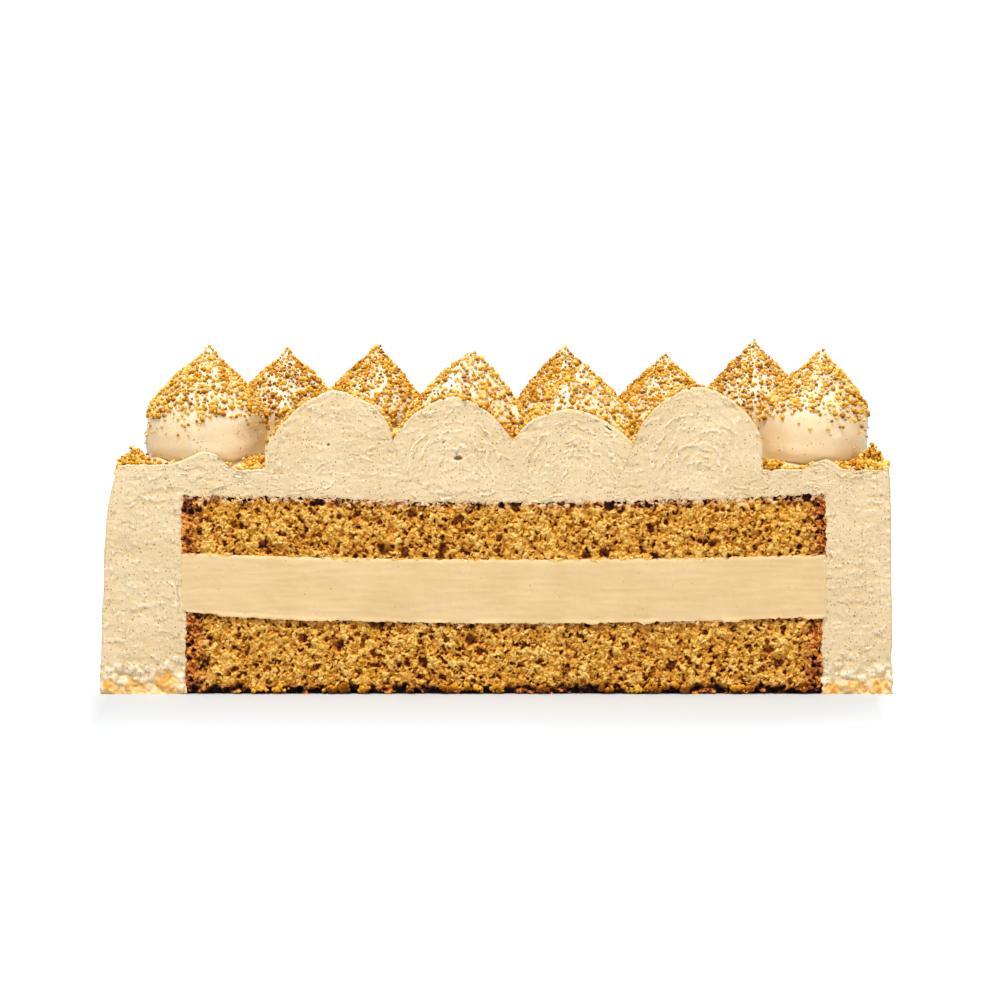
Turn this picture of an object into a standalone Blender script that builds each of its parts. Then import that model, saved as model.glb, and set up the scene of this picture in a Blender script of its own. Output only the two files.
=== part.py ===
"""Half of a round pistachio tiramisu cake, 200 mm across, standing on its base.

The cake was cut straight through the middle. The cut face looks towards -Y, and the round side is at
the back. From the bottom up it holds a sponge disc, a firm layer of filling cream and a second sponge
disc. A thick coat of cream goes round and over them. Kiss-shaped dollops are piped on the top in two
rings, and biscuit crumbs lie on everything that faces up. The knife went through four mounds of the
top, and they are one with the coat, as the cut shows no seam there.

Lengths are in metres. The origin is the middle of the footprint, on the surface the cake stands on.
"""

import math
import random

import bmesh
import bpy
from mathutils import Vector, noise
from mathutils.bvhtree import BVHTree

MM = 0.001

# Driving dimensions of the whole cake
CAKE_RADIUS = 100 * MM
CUT_Y = -CAKE_RADIUS / 2
LEDGE_Z = 57 * MM
GAP = 0.35 * MM
SIDE_GAP = 0.6 * MM

# The stack inside, whose axis is a little right of the cake's
STACK_X = 2 * MM
BOTTOM_SPONGE_RADIUS = 80.2 * MM
FILLING_RADIUS = 80.7 * MM
TOP_SPONGE_RADIUS = 81.7 * MM
BOTTOM_SPONGE_TOP = 18 * MM
FILLING_TOP = 33.9 * MM
TOP_SPONGE_TOP = 48.1 * MM
# How much higher each layer's top is at the two ends of the cut than at the middle
BOTTOM_SPONGE_SAG = 1.3 * MM
FILLING_SAG = 0.5 * MM
TOP_SPONGE_SAG = 1.8 * MM

# The cream wall: it leans in on the left of the cut and stands upright on the right
LEAN_LEFT = 3.4 * MM
LEAN_RIGHT = 0.4 * MM
SHOULDER_LEFT = 2.2 * MM
SHOULDER_RIGHT = 0.5 * MM
WALL_WAVE = 0.5 * MM
# The top's rim, raised a little where the wall was smoothed
RIM_START = 92 * MM
RIM_WIDTH = 5 * MM
RIM_RISE = 0.8 * MM

# Piped dollops
BASE_Z = LEDGE_Z + GAP
SEGMENTS = 14
RINGS = 10
CRUMB_RADIUS = 0.95 * MM
CRUMBS_PER_DOLLOP = 6
CRUMBS_ON_COAT = 64

# Whole dollops in millimetres: x, depth behind the cut, base radius, height, tip's lean in x and y
WHOLE_DOLLOPS = (
    (-74.4, 17.0, 15.3, 29.7, 0.6, 1.0),
    (-55.8, 45.5, 14.4, 28.8, 0.8, -1.0),
    (-34.6, 67.0, 14.0, 29.7, 2.6, 0.5),
    (-8.8, 77.5, 12.8, 27.2, 1.9, 0.0),
    (18.4, 77.0, 13.2, 29.6, 0.2, 1.0),
    (45.2, 66.0, 14.3, 27.2, 0.3, -0.5),
    (67.8, 45.5, 14.6, 31.0, 0.3, 0.5),
    (81.6, 17.0, 13.5, 29.1, 2.2, 0.5),
    (-32.6, 28.0, 13.9, 27.6, 1.8, 0.5),
    (-9.0, 43.6, 13.4, 26.2, 1.6, 0.0),
    (18.6, 43.6, 13.4, 26.2, -0.5, 0.5),
    (44.2, 28.2, 14.0, 26.4, 0.2, 0.0),
)

# Mounds that the knife went through, in millimetres: x, half width, height above the ledge, depth
CUT_MOUNDS = (
    (-41.7, 16.2, 20.0, 12.0),
    (-11.0, 15.9, 18.5, 13.0),
    (19.8, 15.7, 15.5, 13.0),
    (51.3, 16.4, 20.2, 12.0),
)
# The two middle mounds kept their tips behind the cut: x, depth, radius, height, lean in x and y
CUT_TIPS = (
    (-8.8, 9.5, 15.2, 29.8, 2.4, -0.5),
    (20.9, 9.5, 14.8, 26.0, 1.6, -0.5),
)
# Cream that the knife pushed up in front of the outer dollops: x, height, half width
PUSHED_UP = ((-73.5, 4.1, 6.2), (83.8, 2.8, 4.4))
PUSHED_UP_DEPTH = 1.8 * MM

# Sponge crumb at the cut: distance between pores, size of the finer unevenness, and greatest depth
PORE_SPACING = 3.4 * MM
FINE_CRUMB = 2.0 * MM
CRAG_DEPTH = 1.6 * MM

COLOURS = {
    "sponge": (0.52, 0.25, 0.045),
    "filling": (0.85, 0.62, 0.33),
    "cream": (0.87, 0.69, 0.42),
}
ROUGHNESS = {"sponge": 0.85, "filling": 0.5, "cream": 0.5}


def material(name):
    """A plain Principled material in the food's own colour."""
    made = bpy.data.materials.new(name)
    made.use_nodes = True
    shader = made.node_tree.nodes["Principled BSDF"]
    shader.inputs["Base Color"].default_value = (*COLOURS[name], 1)
    shader.inputs["Roughness"].default_value = ROUGHNESS[name]
    shader.inputs["Metallic"].default_value = 0
    return made


def add_object(name, bm, finish):
    """Turns a bmesh into a named object with its normals pointing out."""
    bmesh.ops.recalc_face_normals(bm, faces=bm.faces)
    mesh = bpy.data.meshes.new(name)
    bm.to_mesh(mesh)
    bm.free()
    mesh.materials.append(finish)
    made = bpy.data.objects.new(name, mesh)
    bpy.context.scene.collection.objects.link(made)
    return made


def add_faces(bm, rows):
    """Fills in the faces between rows of vertices. Corners that are the same vertex are dropped."""
    for lower, upper in zip(rows, rows[1:]):
        for i in range(len(lower) - 1):
            corners = [lower[i], lower[i + 1], upper[i + 1], upper[i]]
            different = list(dict.fromkeys(corners))
            if len(different) > 2:
                bm.faces.new(different)


def wobble(x, y, z, size, seed=0.0):
    """Smooth unevenness between about -1 and 1, with bumps of the given size."""
    return noise.noise(Vector((x, y, z)) / size + Vector((seed, 2.3 * seed, 5.1 * seed)))


# Sponge and filling


def bottom_sponge_top(x):
    """Height where the filling starts, at a distance to the side of the stack's axis."""
    return BOTTOM_SPONGE_TOP + BOTTOM_SPONGE_SAG * (x / TOP_SPONGE_RADIUS) ** 2


def filling_top(x):
    """Height where the second sponge starts."""
    return FILLING_TOP + FILLING_SAG * (x / TOP_SPONGE_RADIUS) ** 2


def top_sponge_top(x):
    """Height where the coat of cream starts."""
    return TOP_SPONGE_TOP + TOP_SPONGE_SAG * (x / TOP_SPONGE_RADIUS) ** 2


def crag(x, z):
    """How far a point of the cut sponge lies behind the knife's plane: open pores and torn crumb."""
    from_pore = noise.voronoi(Vector((x, z, 0)) / PORE_SPACING)[0][0]
    fine = wobble(x, z, 0, FINE_CRUMB, 3.0)
    return CRAG_DEPTH * max(0.0, min(1.0, 0.9 - 1.2 * from_pore + 0.5 * fine))


def layer(name, radius, bottom, top, finish, crumbly, columns, rows):
    """A half disc between two heights, each a function of the distance to the side of its axis."""
    even = 0.65  # share of the columns' even spacing, the rest crowds them towards the two ends
    bm = bmesh.new()
    front = []
    for j in range(rows + 1):
        share = j / rows
        line = []
        for i in range(columns + 1):
            crowded = -math.cos(math.pi * i / columns)
            x = radius * (even * (2 * i / columns - 1) + (1 - even) * crowded)
            z = bottom(x) + share * (top(x) - bottom(x))
            at_rim = i in (0, columns) or j in (0, rows)
            back = crag(x, z) if crumbly and not at_rim else 0.0
            line.append(bm.verts.new((STACK_X + x, CUT_Y + back, z)))
        front.append(line)

    def round_the_back(share, height):
        line = [front[share][0]]
        for i in range(1, columns):
            x = front[share][i].co.x - STACK_X
            y = math.sqrt(radius**2 - x**2)
            line.append(bm.verts.new((STACK_X + x, CUT_Y + y, height(x))))
        return [*line, front[share][columns]]

    back_low = round_the_back(0, bottom)
    back_high = round_the_back(rows, top)
    add_faces(bm, front)
    add_faces(bm, [front[0], back_low])
    add_faces(bm, [front[rows], back_high])
    add_faces(bm, [back_low[1:-1], back_high[1:-1]])
    for end, beside in ((0, 1), (columns, columns - 1)):
        side = [line[end] for line in front]
        bm.faces.new([back_low[beside], *side, back_high[beside]])
    return add_object(name, bm, finish)


# Cream coat


def wall_radius(angle, height):
    """Outer radius of the cream wall at an angle round the cake, 0 at the right end of the cut."""
    left = (1 - math.cos(angle)) / 2
    up = height / LEDGE_Z
    lean_curve, shoulder_curve = 1.3, 14
    lean = LEAN_RIGHT + (LEAN_LEFT - LEAN_RIGHT) * left
    shoulder = SHOULDER_RIGHT + (SHOULDER_LEFT - SHOULDER_RIGHT) * left
    x, y = math.cos(angle) * CAKE_RADIUS, math.sin(angle) * CAKE_RADIUS
    wave = WALL_WAVE * (wobble(x, y, height, 26 * MM) - 1) * math.sin(angle)
    return CAKE_RADIUS - lean * up**lean_curve - shoulder * up**shoulder_curve + wave


def ledge_height(x, depth, distance):
    """Height of the coat's top. It is level under the dollops and uneven at the rim and the cut."""
    height = LEDGE_Z
    for middle, rise, half_width in PUSHED_UP:
        along = (x / MM - middle) / half_width
        height += rise * MM * math.exp(-along**2 - (depth / PUSHED_UP_DEPTH) ** 2)
    rim = max(0.0, min(1.0, (distance - RIM_START) / RIM_WIDTH))
    return height + rim * (RIM_RISE + RIM_RISE / 2 * wobble(x, depth, 0, 12 * MM))


def angles_round(count):
    """Angles from 0 to half a turn, close together near the cut."""
    crowding = 0.86
    for i in range(count + 1):
        u = i / count
        yield math.pi * u - crowding * math.sin(2 * math.pi * u) / 2


def coat_body():
    """The coat before the mounds are added: a wall and a top, hollow where the stack stands."""
    columns = 36
    past_the_cut = 1 * MM
    wall_heights = [0, 2, 8, 16, 26, 36, 46, 53, 56]
    top_radii = [98, 95, 92, 88.5, 85, 81.5, 78, 74.5, 71, 67.5, 64, 60, 48, 30]
    cavity = [
        (BOTTOM_SPONGE_RADIUS, lambda x: 0),
        (BOTTOM_SPONGE_RADIUS, lambda x: bottom_sponge_top(x) - GAP),
        (FILLING_RADIUS, lambda x: bottom_sponge_top(x) - GAP / 2),
        (FILLING_RADIUS, lambda x: filling_top(x) - GAP),
        (TOP_SPONGE_RADIUS, lambda x: filling_top(x) - GAP / 2),
        *((TOP_SPONGE_RADIUS * share, lambda x: top_sponge_top(x) + GAP) for share in (1, 0.75, 0.5, 0.25)),
    ]
    bm = bmesh.new()
    outer = [[] for _ in range(len(wall_heights) + len(top_radii))]
    inner = [[] for _ in cavity]
    for angle in angles_round(columns):
        cos, sin = math.cos(angle), math.sin(angle)
        ends = abs(sin) < 1e-6

        def vertex(axis_x, radius, height):
            depth = -past_the_cut if ends else radius * sin
            return bm.verts.new((axis_x + radius * cos, CUT_Y + depth, height))

        for row, height in zip(outer, wall_heights):
            row.append(vertex(0, wall_radius(angle, height * MM), height * MM))
        rim_radius = wall_radius(angle, LEDGE_Z)
        for row, distance in zip(outer[len(wall_heights) :], top_radii):
            radius = rim_radius * distance / top_radii[0]
            top = ledge_height(radius * cos, radius * sin, distance * MM)
            row.append(vertex(0, radius, top))
        for row, (radius, height) in zip(inner, cavity):
            row.append(vertex(STACK_X, radius + SIDE_GAP, height(radius * cos)))
    top_middle = bm.verts.new((0, CUT_Y - past_the_cut, LEDGE_Z))
    ceiling_middle = bm.verts.new((STACK_X, CUT_Y - past_the_cut, TOP_SPONGE_TOP + GAP))
    outer.append([top_middle] * (columns + 1))
    inner.append([ceiling_middle] * (columns + 1))
    add_faces(bm, outer)
    add_faces(bm, inner)
    add_faces(bm, [outer[0], inner[0]])
    for end in (0, columns):
        face = [row[end] for row in outer] + [row[end] for row in reversed(inner)]
        bm.faces.new(face)
    return bm


def rings_to_mesh(rings, top):
    """A closed lump from rings of points, flat underneath and closed by one point at the top."""
    bm = bmesh.new()
    rows = []
    for ring in rings:
        row = [bm.verts.new(point) for point in ring]
        rows.append([*row, row[0]])
    tip = bm.verts.new(top)
    rows.append([tip] * len(rows[0]))
    add_faces(bm, rows)
    bm.faces.new(rows[0][:-1])
    return bm


def cut_mound(x, half_width, height, depth):
    """A rounded mound with upright sides at its foot, centred on the cut."""
    sunk = 4 * MM
    upright = 6 * MM
    segments = 20
    rings = []
    for level in (-sunk, 0, upright, upright * 1.5, *(height * share for share in (0.55, 0.75, 0.9, 0.98))):
        share = max(0.0, (level - upright) / (height - upright))
        scale = (1 - share**1.8) ** 0.62
        ring = []
        for i in range(segments):
            turn = 2 * math.pi * (i + 0.5) / segments
            across = half_width * scale * math.cos(turn)
            along = depth * scale * math.sin(turn)
            uneven = 1 + 0.03 * wobble(x + across, along, level, 9 * MM)
            ring.append((x + across * uneven, CUT_Y + along * uneven, LEDGE_Z + level))
        rings.append(ring)
    return rings_to_mesh(rings, (x, CUT_Y, LEDGE_Z + height))


def kiss_scale(t):
    """Radius of a piped kiss as a share of its greatest, at a share t of its height.

    It is tucked in at the foot, and upright up to a soft shoulder. From there a cone runs to the tip.
    """
    tuck = 1 - 0.17 * max(0.0, 1 - t / 0.17) ** 2
    cone = 1.78 * (1 - t) ** 0.95
    shoulder_sharpness = 13
    return tuck * (1 + cone**-shoulder_sharpness) ** (-1 / shoulder_sharpness)


def kiss(x, y, z, radius, height, lean_x, lean_y, sunk=0.0, seed=0.0):
    """A piped dollop: a soft drum, then a cone that runs to a leaning tip."""
    last_ring, ring_crowding = 0.94, 0.9
    rings = []
    for j in range(RINGS):
        t = last_ring * (j / (RINGS - 1)) ** ring_crowding
        level = z - sunk if j == 0 else z + height * t
        reach = radius * kiss_scale(t)
        ring = []
        for i in range(SEGMENTS):
            turn = 2 * math.pi * i / SEGMENTS
            uneven = 1 + 0.03 * (wobble(math.cos(turn), math.sin(turn), 2 * t, 1.0, seed) - 0.4)
            ring.append(
                (
                    x + lean_x * t**2 + reach * uneven * math.cos(turn),
                    y + lean_y * t**2 + reach * uneven * math.sin(turn),
                    level,
                )
            )
        rings.append(ring)
    return rings_to_mesh(rings, (x + lean_x, y + lean_y, z + height))


# Biscuit crumbs


def crumb(name, centre, radius, finish):
    """One lump of biscuit crumb, a rough icosahedron. Its place gives it a shape of its own."""
    roughness = 0.16
    bm = bmesh.new()
    bmesh.ops.create_icosphere(bm, subdivisions=1, radius=radius)
    for vertex in bm.verts:
        vertex.co *= 1 + roughness * noise.noise(vertex.co / radius + centre / MM)
        vertex.co += centre
    return add_object(name, bm, finish)


def sprinkle(base, draws, count, place, allowed, apart):
    """Spots on a surface where crumbs landed from above, none closer than apart to another."""
    above_the_cake = 0.2
    steepest = 0.25  # a crumb slides off where the surface faces up less than this
    graph = bpy.context.evaluated_depsgraph_get()
    tree = BVHTree.FromObject(base, graph)
    spots = []
    for _ in range(draws):
        x, y = place()
        hit, normal, _, _ = tree.ray_cast(Vector((x, y, above_the_cake)), Vector((0, 0, -1)))
        if hit is None or normal.z < steepest or not allowed(hit):
            continue
        if all((hit - spot).length > apart for spot in spots):
            spots.append(hit)
        if len(spots) == count:
            break
    return spots


def apply_boolean(base, operation, others, solver):
    """Joins the others to the base, or cuts them from it, and removes them."""
    together = bpy.data.collections.new("together")
    bpy.context.scene.collection.children.link(together)
    for other in others:
        together.objects.link(other)
        bpy.context.scene.collection.objects.unlink(other)
    change = base.modifiers.new("change", "BOOLEAN")
    change.operation = operation
    change.operand_type = "COLLECTION"
    change.collection = together
    change.solver = solver
    graph = bpy.context.evaluated_depsgraph_get()
    result = bpy.data.meshes.new_from_object(base.evaluated_get(graph))
    base.modifiers.clear()
    base.data = result
    for other in others:
        bpy.data.objects.remove(other)
    bpy.data.collections.remove(together)


def knife():
    """The space in front of the cut, wider and taller than the cake."""
    side, thickness = 0.3, 0.06
    bm = bmesh.new()
    bmesh.ops.create_cube(bm, size=1)
    bmesh.ops.scale(bm, vec=(side, thickness, side), verts=bm.verts)
    bmesh.ops.translate(bm, vec=(0, CUT_Y - thickness / 2, 0), verts=bm.verts)
    return add_object("knife", bm, bpy.data.materials["cream"])


def make_coat(finish):
    """The coat with its four cut mounds and the crumbs that lie on it, as one solid."""
    coat = add_object("cream_coat", coat_body(), finish)
    lumps = []
    for x, half_width, height, depth in CUT_MOUNDS:
        bm = cut_mound(x * MM, half_width * MM, height * MM, depth * MM)
        lumps.append(add_object("mound", bm, finish))
    for number, (x, depth, radius, height, lean_x, lean_y) in enumerate(CUT_TIPS):
        sizes = [size * MM for size in (radius, height, lean_x, lean_y)]
        bm = kiss(x * MM, CUT_Y + depth * MM, LEDGE_Z, *sizes, sunk=3 * MM, seed=40 + number)
        lumps.append(add_object("tip", bm, finish))
    apply_boolean(coat, "UNION", lumps, "MANIFOLD")

    draw = random.Random(7)

    def place():
        angle = math.pi * draw.random()
        distance = 98 * MM * math.sqrt(draw.random())
        return distance * math.cos(angle), CUT_Y + distance * math.sin(angle)

    def allowed(hit):
        behind_cut = hit.y - CUT_Y > 1.5 * CRUMB_RADIUS
        clear = all(
            math.hypot(hit.x - x * MM, hit.y - CUT_Y - depth * MM) > radius * MM + 2 * CRUMB_RADIUS
            for x, depth, radius, *_ in WHOLE_DOLLOPS
        )
        return behind_cut and clear

    spots = sprinkle(coat, 4000, CRUMBS_ON_COAT, place, allowed, 3.2 * MM)
    crumbs = [crumb("crumb", spot, CRUMB_RADIUS * (0.85 + 0.3 * draw.random()), finish) for spot in spots]
    apply_boolean(coat, "UNION", crumbs, "MANIFOLD")
    apply_boolean(coat, "DIFFERENCE", [knife()], "MANIFOLD")
    return coat


def make_dollop(number, sizes, finish):
    """One whole dollop with the largest of its crumbs."""
    x, depth, radius, height, lean_x, lean_y = [size * MM for size in sizes]
    y = CUT_Y + depth
    bm = kiss(x, y, BASE_Z, radius, height, lean_x, lean_y, seed=number)
    dollop = add_object(f"dollop_{number:02d}", bm, finish)
    draw = random.Random(100 + number)

    def place():
        turn = 2 * math.pi * draw.random()
        reach = (radius - 1.5 * CRUMB_RADIUS) * math.sqrt(draw.random())
        return x + reach * math.cos(turn), y + reach * math.sin(turn)

    def allowed(hit):
        shoulder = 0.4 * height
        return hit.z > BASE_Z + shoulder

    spots = sprinkle(dollop, 600, CRUMBS_PER_DOLLOP, place, allowed, 5 * MM)
    crumbs = [crumb("crumb", spot, CRUMB_RADIUS * (0.85 + 0.3 * draw.random()), finish) for spot in spots]
    apply_boolean(dollop, "UNION", crumbs, "MANIFOLD")
    return dollop


def main():
    for old in list(bpy.data.objects):
        bpy.data.objects.remove(old)
    sponge, filling, cream = material("sponge"), material("filling"), material("cream")
    layer(
        "sponge_bottom",
        BOTTOM_SPONGE_RADIUS,
        lambda x: 0.0,
        lambda x: bottom_sponge_top(x) - GAP,
        sponge,
        crumbly=True,
        columns=64,
        rows=7,
    )
    layer(
        "filling_cream",
        FILLING_RADIUS,
        bottom_sponge_top,
        lambda x: filling_top(x) - GAP,
        filling,
        crumbly=False,
        columns=32,
        rows=1,
    )
    layer(
        "sponge_top",
        TOP_SPONGE_RADIUS,
        filling_top,
        top_sponge_top,
        sponge,
        crumbly=True,
        columns=64,
        rows=6,
    )
    make_coat(cream)
    for number, sizes in enumerate(WHOLE_DOLLOPS, start=1):
        make_dollop(number, sizes, cream)


main()
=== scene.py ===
# %% [markdown]
# # Half of a pistachio tiramisu
#
# The object is half of a round cake, 200 mm across, cut through the middle and seen straight at the cut.
# Two sponge discs hold a firm filling between them. Whipped cream covers them, piped dollops stand on the
# top, and golden biscuit crumbs lie over everything.
#
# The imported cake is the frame: plain solids at their true size and place. Each step below takes one of its
# pieces, says what it is on the real cake and how it could be made, and then makes the surface that shows.

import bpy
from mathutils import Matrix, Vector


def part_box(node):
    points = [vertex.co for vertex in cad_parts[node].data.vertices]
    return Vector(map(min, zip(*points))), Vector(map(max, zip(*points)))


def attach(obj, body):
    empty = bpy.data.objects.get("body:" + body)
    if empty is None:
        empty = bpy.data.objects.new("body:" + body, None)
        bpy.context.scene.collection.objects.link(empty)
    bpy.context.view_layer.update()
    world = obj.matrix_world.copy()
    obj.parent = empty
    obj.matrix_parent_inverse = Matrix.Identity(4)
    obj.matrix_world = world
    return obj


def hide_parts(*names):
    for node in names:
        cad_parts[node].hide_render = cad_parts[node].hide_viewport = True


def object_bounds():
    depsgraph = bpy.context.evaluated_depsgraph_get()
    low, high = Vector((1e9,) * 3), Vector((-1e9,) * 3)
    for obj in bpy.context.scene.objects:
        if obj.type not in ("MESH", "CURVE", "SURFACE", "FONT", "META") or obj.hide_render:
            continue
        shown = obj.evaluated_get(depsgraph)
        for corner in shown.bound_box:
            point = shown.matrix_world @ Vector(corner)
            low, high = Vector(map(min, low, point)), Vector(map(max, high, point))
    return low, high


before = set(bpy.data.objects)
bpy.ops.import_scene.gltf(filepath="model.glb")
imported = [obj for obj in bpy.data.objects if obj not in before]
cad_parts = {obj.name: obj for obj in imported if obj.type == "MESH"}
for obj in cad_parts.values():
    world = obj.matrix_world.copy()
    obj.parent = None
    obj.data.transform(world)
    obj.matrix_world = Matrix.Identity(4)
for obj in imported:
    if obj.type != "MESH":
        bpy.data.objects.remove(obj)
cad_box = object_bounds()
print("the cake's box, in metres:", [list(corner) for corner in cad_box])

# %% [markdown]
# ## Tools and units
#
# Blender counts in metres, and crumbs are easier to think of in millimetres. So every piece is modelled in
# millimetres, and the helper that finishes a piece scales its mesh once, at the end. The noise functions of
# mathutils are the same on every run, which keeps the cake the same on every run too.

# %% Modules and units
import itertools
import math

import bmesh
import bpy
import numpy as np
from mathutils import Quaternion, Vector, noise
from mathutils.bvhtree import BVHTree

MM = 0.001
scene = bpy.context.scene


def bumps(x, y, z, seed=0.0):
    """Smooth unevenness between about -1 and 1, with bumps about one unit across."""
    return noise.noise(Vector((x + seed, y + 2.3 * seed, z + 5.1 * seed)))


def smooth(low, high, value):
    """Rises from 0 at low to 1 at high, softly. With low above high it falls."""
    share = min(1.0, max(0.0, (value - low) / (high - low)))
    return share * share * (3 - 2 * share)


# %% [markdown]
# ## Camera
#
# The photograph looks straight at the cut from far away, and a little down: the tops of the rear dollops
# line up with those of the front ones. A long lens at 900 mm gives that flat view. The scale of the picture
# is known from the cake's width, so the lens follows from the distance.

# %% Camera
CUT_Y = cad_box[0].y / MM
IMAGE_SIDE = 1000
MM_PER_PIXEL = 0.2525
CAMERA_DISTANCE = 900
CAMERA_HEIGHT = 95.9
PICTURE_MIDDLE = Vector((1.0, CUT_Y, 49.3))

stand = Vector((PICTURE_MIDDLE.x, CUT_Y - CAMERA_DISTANCE, CAMERA_HEIGHT))
camera_data = bpy.data.cameras.new("camera")
camera_data.lens = camera_data.sensor_width * (PICTURE_MIDDLE - stand).length / (IMAGE_SIDE * MM_PER_PIXEL)
camera = bpy.data.objects.new("camera", camera_data)
scene.collection.objects.link(camera)
camera.location = stand * MM
camera.rotation_euler = (PICTURE_MIDDLE - stand).to_track_quat("-Z", "Y").to_euler()
scene.camera = camera
print(f"lens {camera_data.lens:.1f} mm")

# %% [markdown]
# ## Light
#
# The photograph has a white studio: bright all round, with a key light from the upper left that picks out
# the ridges of the cream, and only a thin soft shadow at the foot. A world that is white to the eye but
# gives a gentler light on the cake leaves room for the lamps to shape the relief. A weak box in front lifts
# the shade under the dollops.

# %% World
KEY_POWER = 22.3
FRONT_POWER = 0.85
FILL_POWER = 6.6
BACK_POWER = 6.0
WORLD_LIGHT, WORLD_SEEN = 0.27, 1.05
WARM = (1.0, 0.9, 0.76)

world = bpy.data.worlds.new("studio")
scene.world = world
world.use_nodes = True
world_nodes = world.node_tree.nodes
world_links = world.node_tree.links
world_nodes.clear()


def background(colour, strength):
    """A world of one colour."""
    node = world_nodes.new("ShaderNodeBackground")
    node.inputs["Color"].default_value = (*colour, 1)
    node.inputs["Strength"].default_value = strength
    return node.outputs[0]


chooser = world_nodes.new("ShaderNodeMixShader")
path = world_nodes.new("ShaderNodeLightPath")
world_output = world_nodes.new("ShaderNodeOutputWorld")
world_links.new(path.outputs["Is Camera Ray"], chooser.inputs["Fac"])
world_links.new(background(WARM, WORLD_LIGHT), chooser.inputs[1])
world_links.new(background((1, 1, 1), WORLD_SEEN), chooser.inputs[2])
world_links.new(chooser.outputs[0], world_output.inputs["Surface"])
scene.view_settings.view_transform = "Standard"

# %% Lamps


def soft_box(name, power, side, place, target, colour=(1, 1, 1)):
    """A square lamp that looks at a point. Place and target are in millimetres."""
    data = bpy.data.lights.new(name, "AREA")
    data.energy = power
    data.color = colour
    data.size = side * MM
    lamp = bpy.data.objects.new(name, data)
    lamp.location = Vector(place) * MM
    lamp.rotation_euler = (Vector(target) - Vector(place)).to_track_quat("-Z", "Y").to_euler()
    scene.collection.objects.link(lamp)


soft_box("key", KEY_POWER, 300, (-300, -560, 1340), (0, CUT_Y, 40))
soft_box("front", FRONT_POWER, 500, (-150, -900, 130), (0, CUT_Y, 60), WARM)
soft_box("fill", FILL_POWER, 700, (1150, -680, 640), (0, CUT_Y, 40), WARM)
soft_box("back", BACK_POWER, 700, (300, 1100, 1000), (0, 0, 60))
print("four soft boxes")

# %% [markdown]
# ## A helper for materials
#
# Every finish below is a small net of nodes around one Principled shader. This class keeps the calls short:
# it makes a node with its values, joins sockets, and starts each net from the Object coordinates, which are
# in metres and don't slide over the cake.

# %% Helper for materials


class Finish:
    """A node material in the making."""

    def __init__(self, name, roughness):
        self.material = bpy.data.materials.new(name)
        self.material.use_nodes = True
        self.nodes = self.material.node_tree.nodes
        self.shader = self.nodes["Principled BSDF"]
        self.shader.inputs["Roughness"].default_value = roughness
        self.place = self.add("TexCoord").outputs["Object"]

    def add(self, kind, settings=None, **inputs):
        """A shader node. Names of inputs are written with _ for a space."""
        node = self.nodes.new("ShaderNode" + kind)
        for name, value in (settings or {}).items():
            setattr(node, name, value)
        for name, value in inputs.items():
            self.feed(node.inputs[name.replace("_", " ")], value)
        return node

    def feed(self, socket, value):
        """Joins a socket to an output, or sets its value."""
        if isinstance(value, bpy.types.NodeSocket):
            self.material.node_tree.links.new(value, socket)
        else:
            socket.default_value = value

    def noise(self, size_mm, detail=3.0, roughness=0.55, stretch=(1, 1, 1)):
        """Noise between 0 and 1 whose bumps are about so many millimetres across."""
        mapping = self.add("Mapping", Vector=self.place, Scale=stretch)
        look = {"Scale": 1 / (size_mm * MM), "Detail": detail, "Roughness": roughness}
        return self.add("TexNoise", Vector=mapping.outputs[0], **look).outputs["Fac"]

    def attribute(self, name):
        """A number that the mesh carries at each vertex."""
        return self.add("Attribute", {"attribute_name": name}).outputs["Fac"]

    def math(self, operation, *values):
        """A sum, product or the like of numbers and sockets."""
        node = self.add("Math", {"operation": operation})
        for socket, value in zip(node.inputs, values):
            self.feed(socket, value)
        return node.outputs[0]

    def range(self, value, low, high, to_low=0.0, to_high=1.0):
        """The value's share of the way from low to high, kept within the new limits."""
        return self.add(
            "MapRange", {"interpolation_type": "SMOOTHSTEP"}, Value=value, From_Min=low, From_Max=high,
            To_Min=to_low, To_Max=to_high,
        ).outputs[0]

    def mix(self, share, first, second):
        """Two colours mixed."""
        node = self.add("Mix", {"data_type": "RGBA"})
        for socket, value in zip((node.inputs[0], node.inputs[6], node.inputs[7]), (share, first, second)):
            self.feed(socket, value)
        return node.outputs[2]

    def ramp(self, value, *stops):
        """A colour ramp of (place, colour) stops."""
        node = self.add("ValToRGB", Fac=value)
        elements = node.color_ramp.elements
        for _ in stops[2:]:
            elements.new(0.5)
        for element, (position, colour) in zip(elements, stops):
            element.position = position
            element.color = colour
        return node.outputs["Color"]

    def colour(self, value):
        """Sends a colour to the shader."""
        self.feed(self.shader.inputs["Base Color"], value)

    def bump(self, height, distance_mm, strength=1.0):
        """Fine relief, finer than the mesh."""
        node = self.add("Bump", Height=height, Distance=distance_mm * MM, Strength=strength)
        self.feed(self.shader.inputs["Normal"], node.outputs[0])


def srgb(*screen):
    """The linear colour of a colour given as red, green and blue from 0 to 255 on a screen."""
    shares = [value / 255 for value in screen]
    return (*(share / 12.92 if share <= 0.04045 else ((share + 0.055) / 1.055) ** 2.4 for share in shares), 1)


# %% [markdown]
# ## Floor
#
# The floor is a sheet of white paper. Near the cake's front it shows a faint shadow. Everywhere else it has
# to be as white as the studio, so its glow grows with the distance from the cake.

# %% Floor
FLOOR_SIDE = 12000
NEAR_REACH, FAR_REACH, NEAR_GLOW, FAR_GLOW = 100, 300, 0.2, 0.9
SIDE_FROM, SIDE_TO, SIDE_GLOW, BESIDE_GLOW = 95, 104, 0.22, 1.0
BEHIND_REACH = 8
SHADOW_MIDDLE = -1.5
GLOW_ON_CAKE = 0.3
VIEW_SLOPE = 0.115


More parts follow.
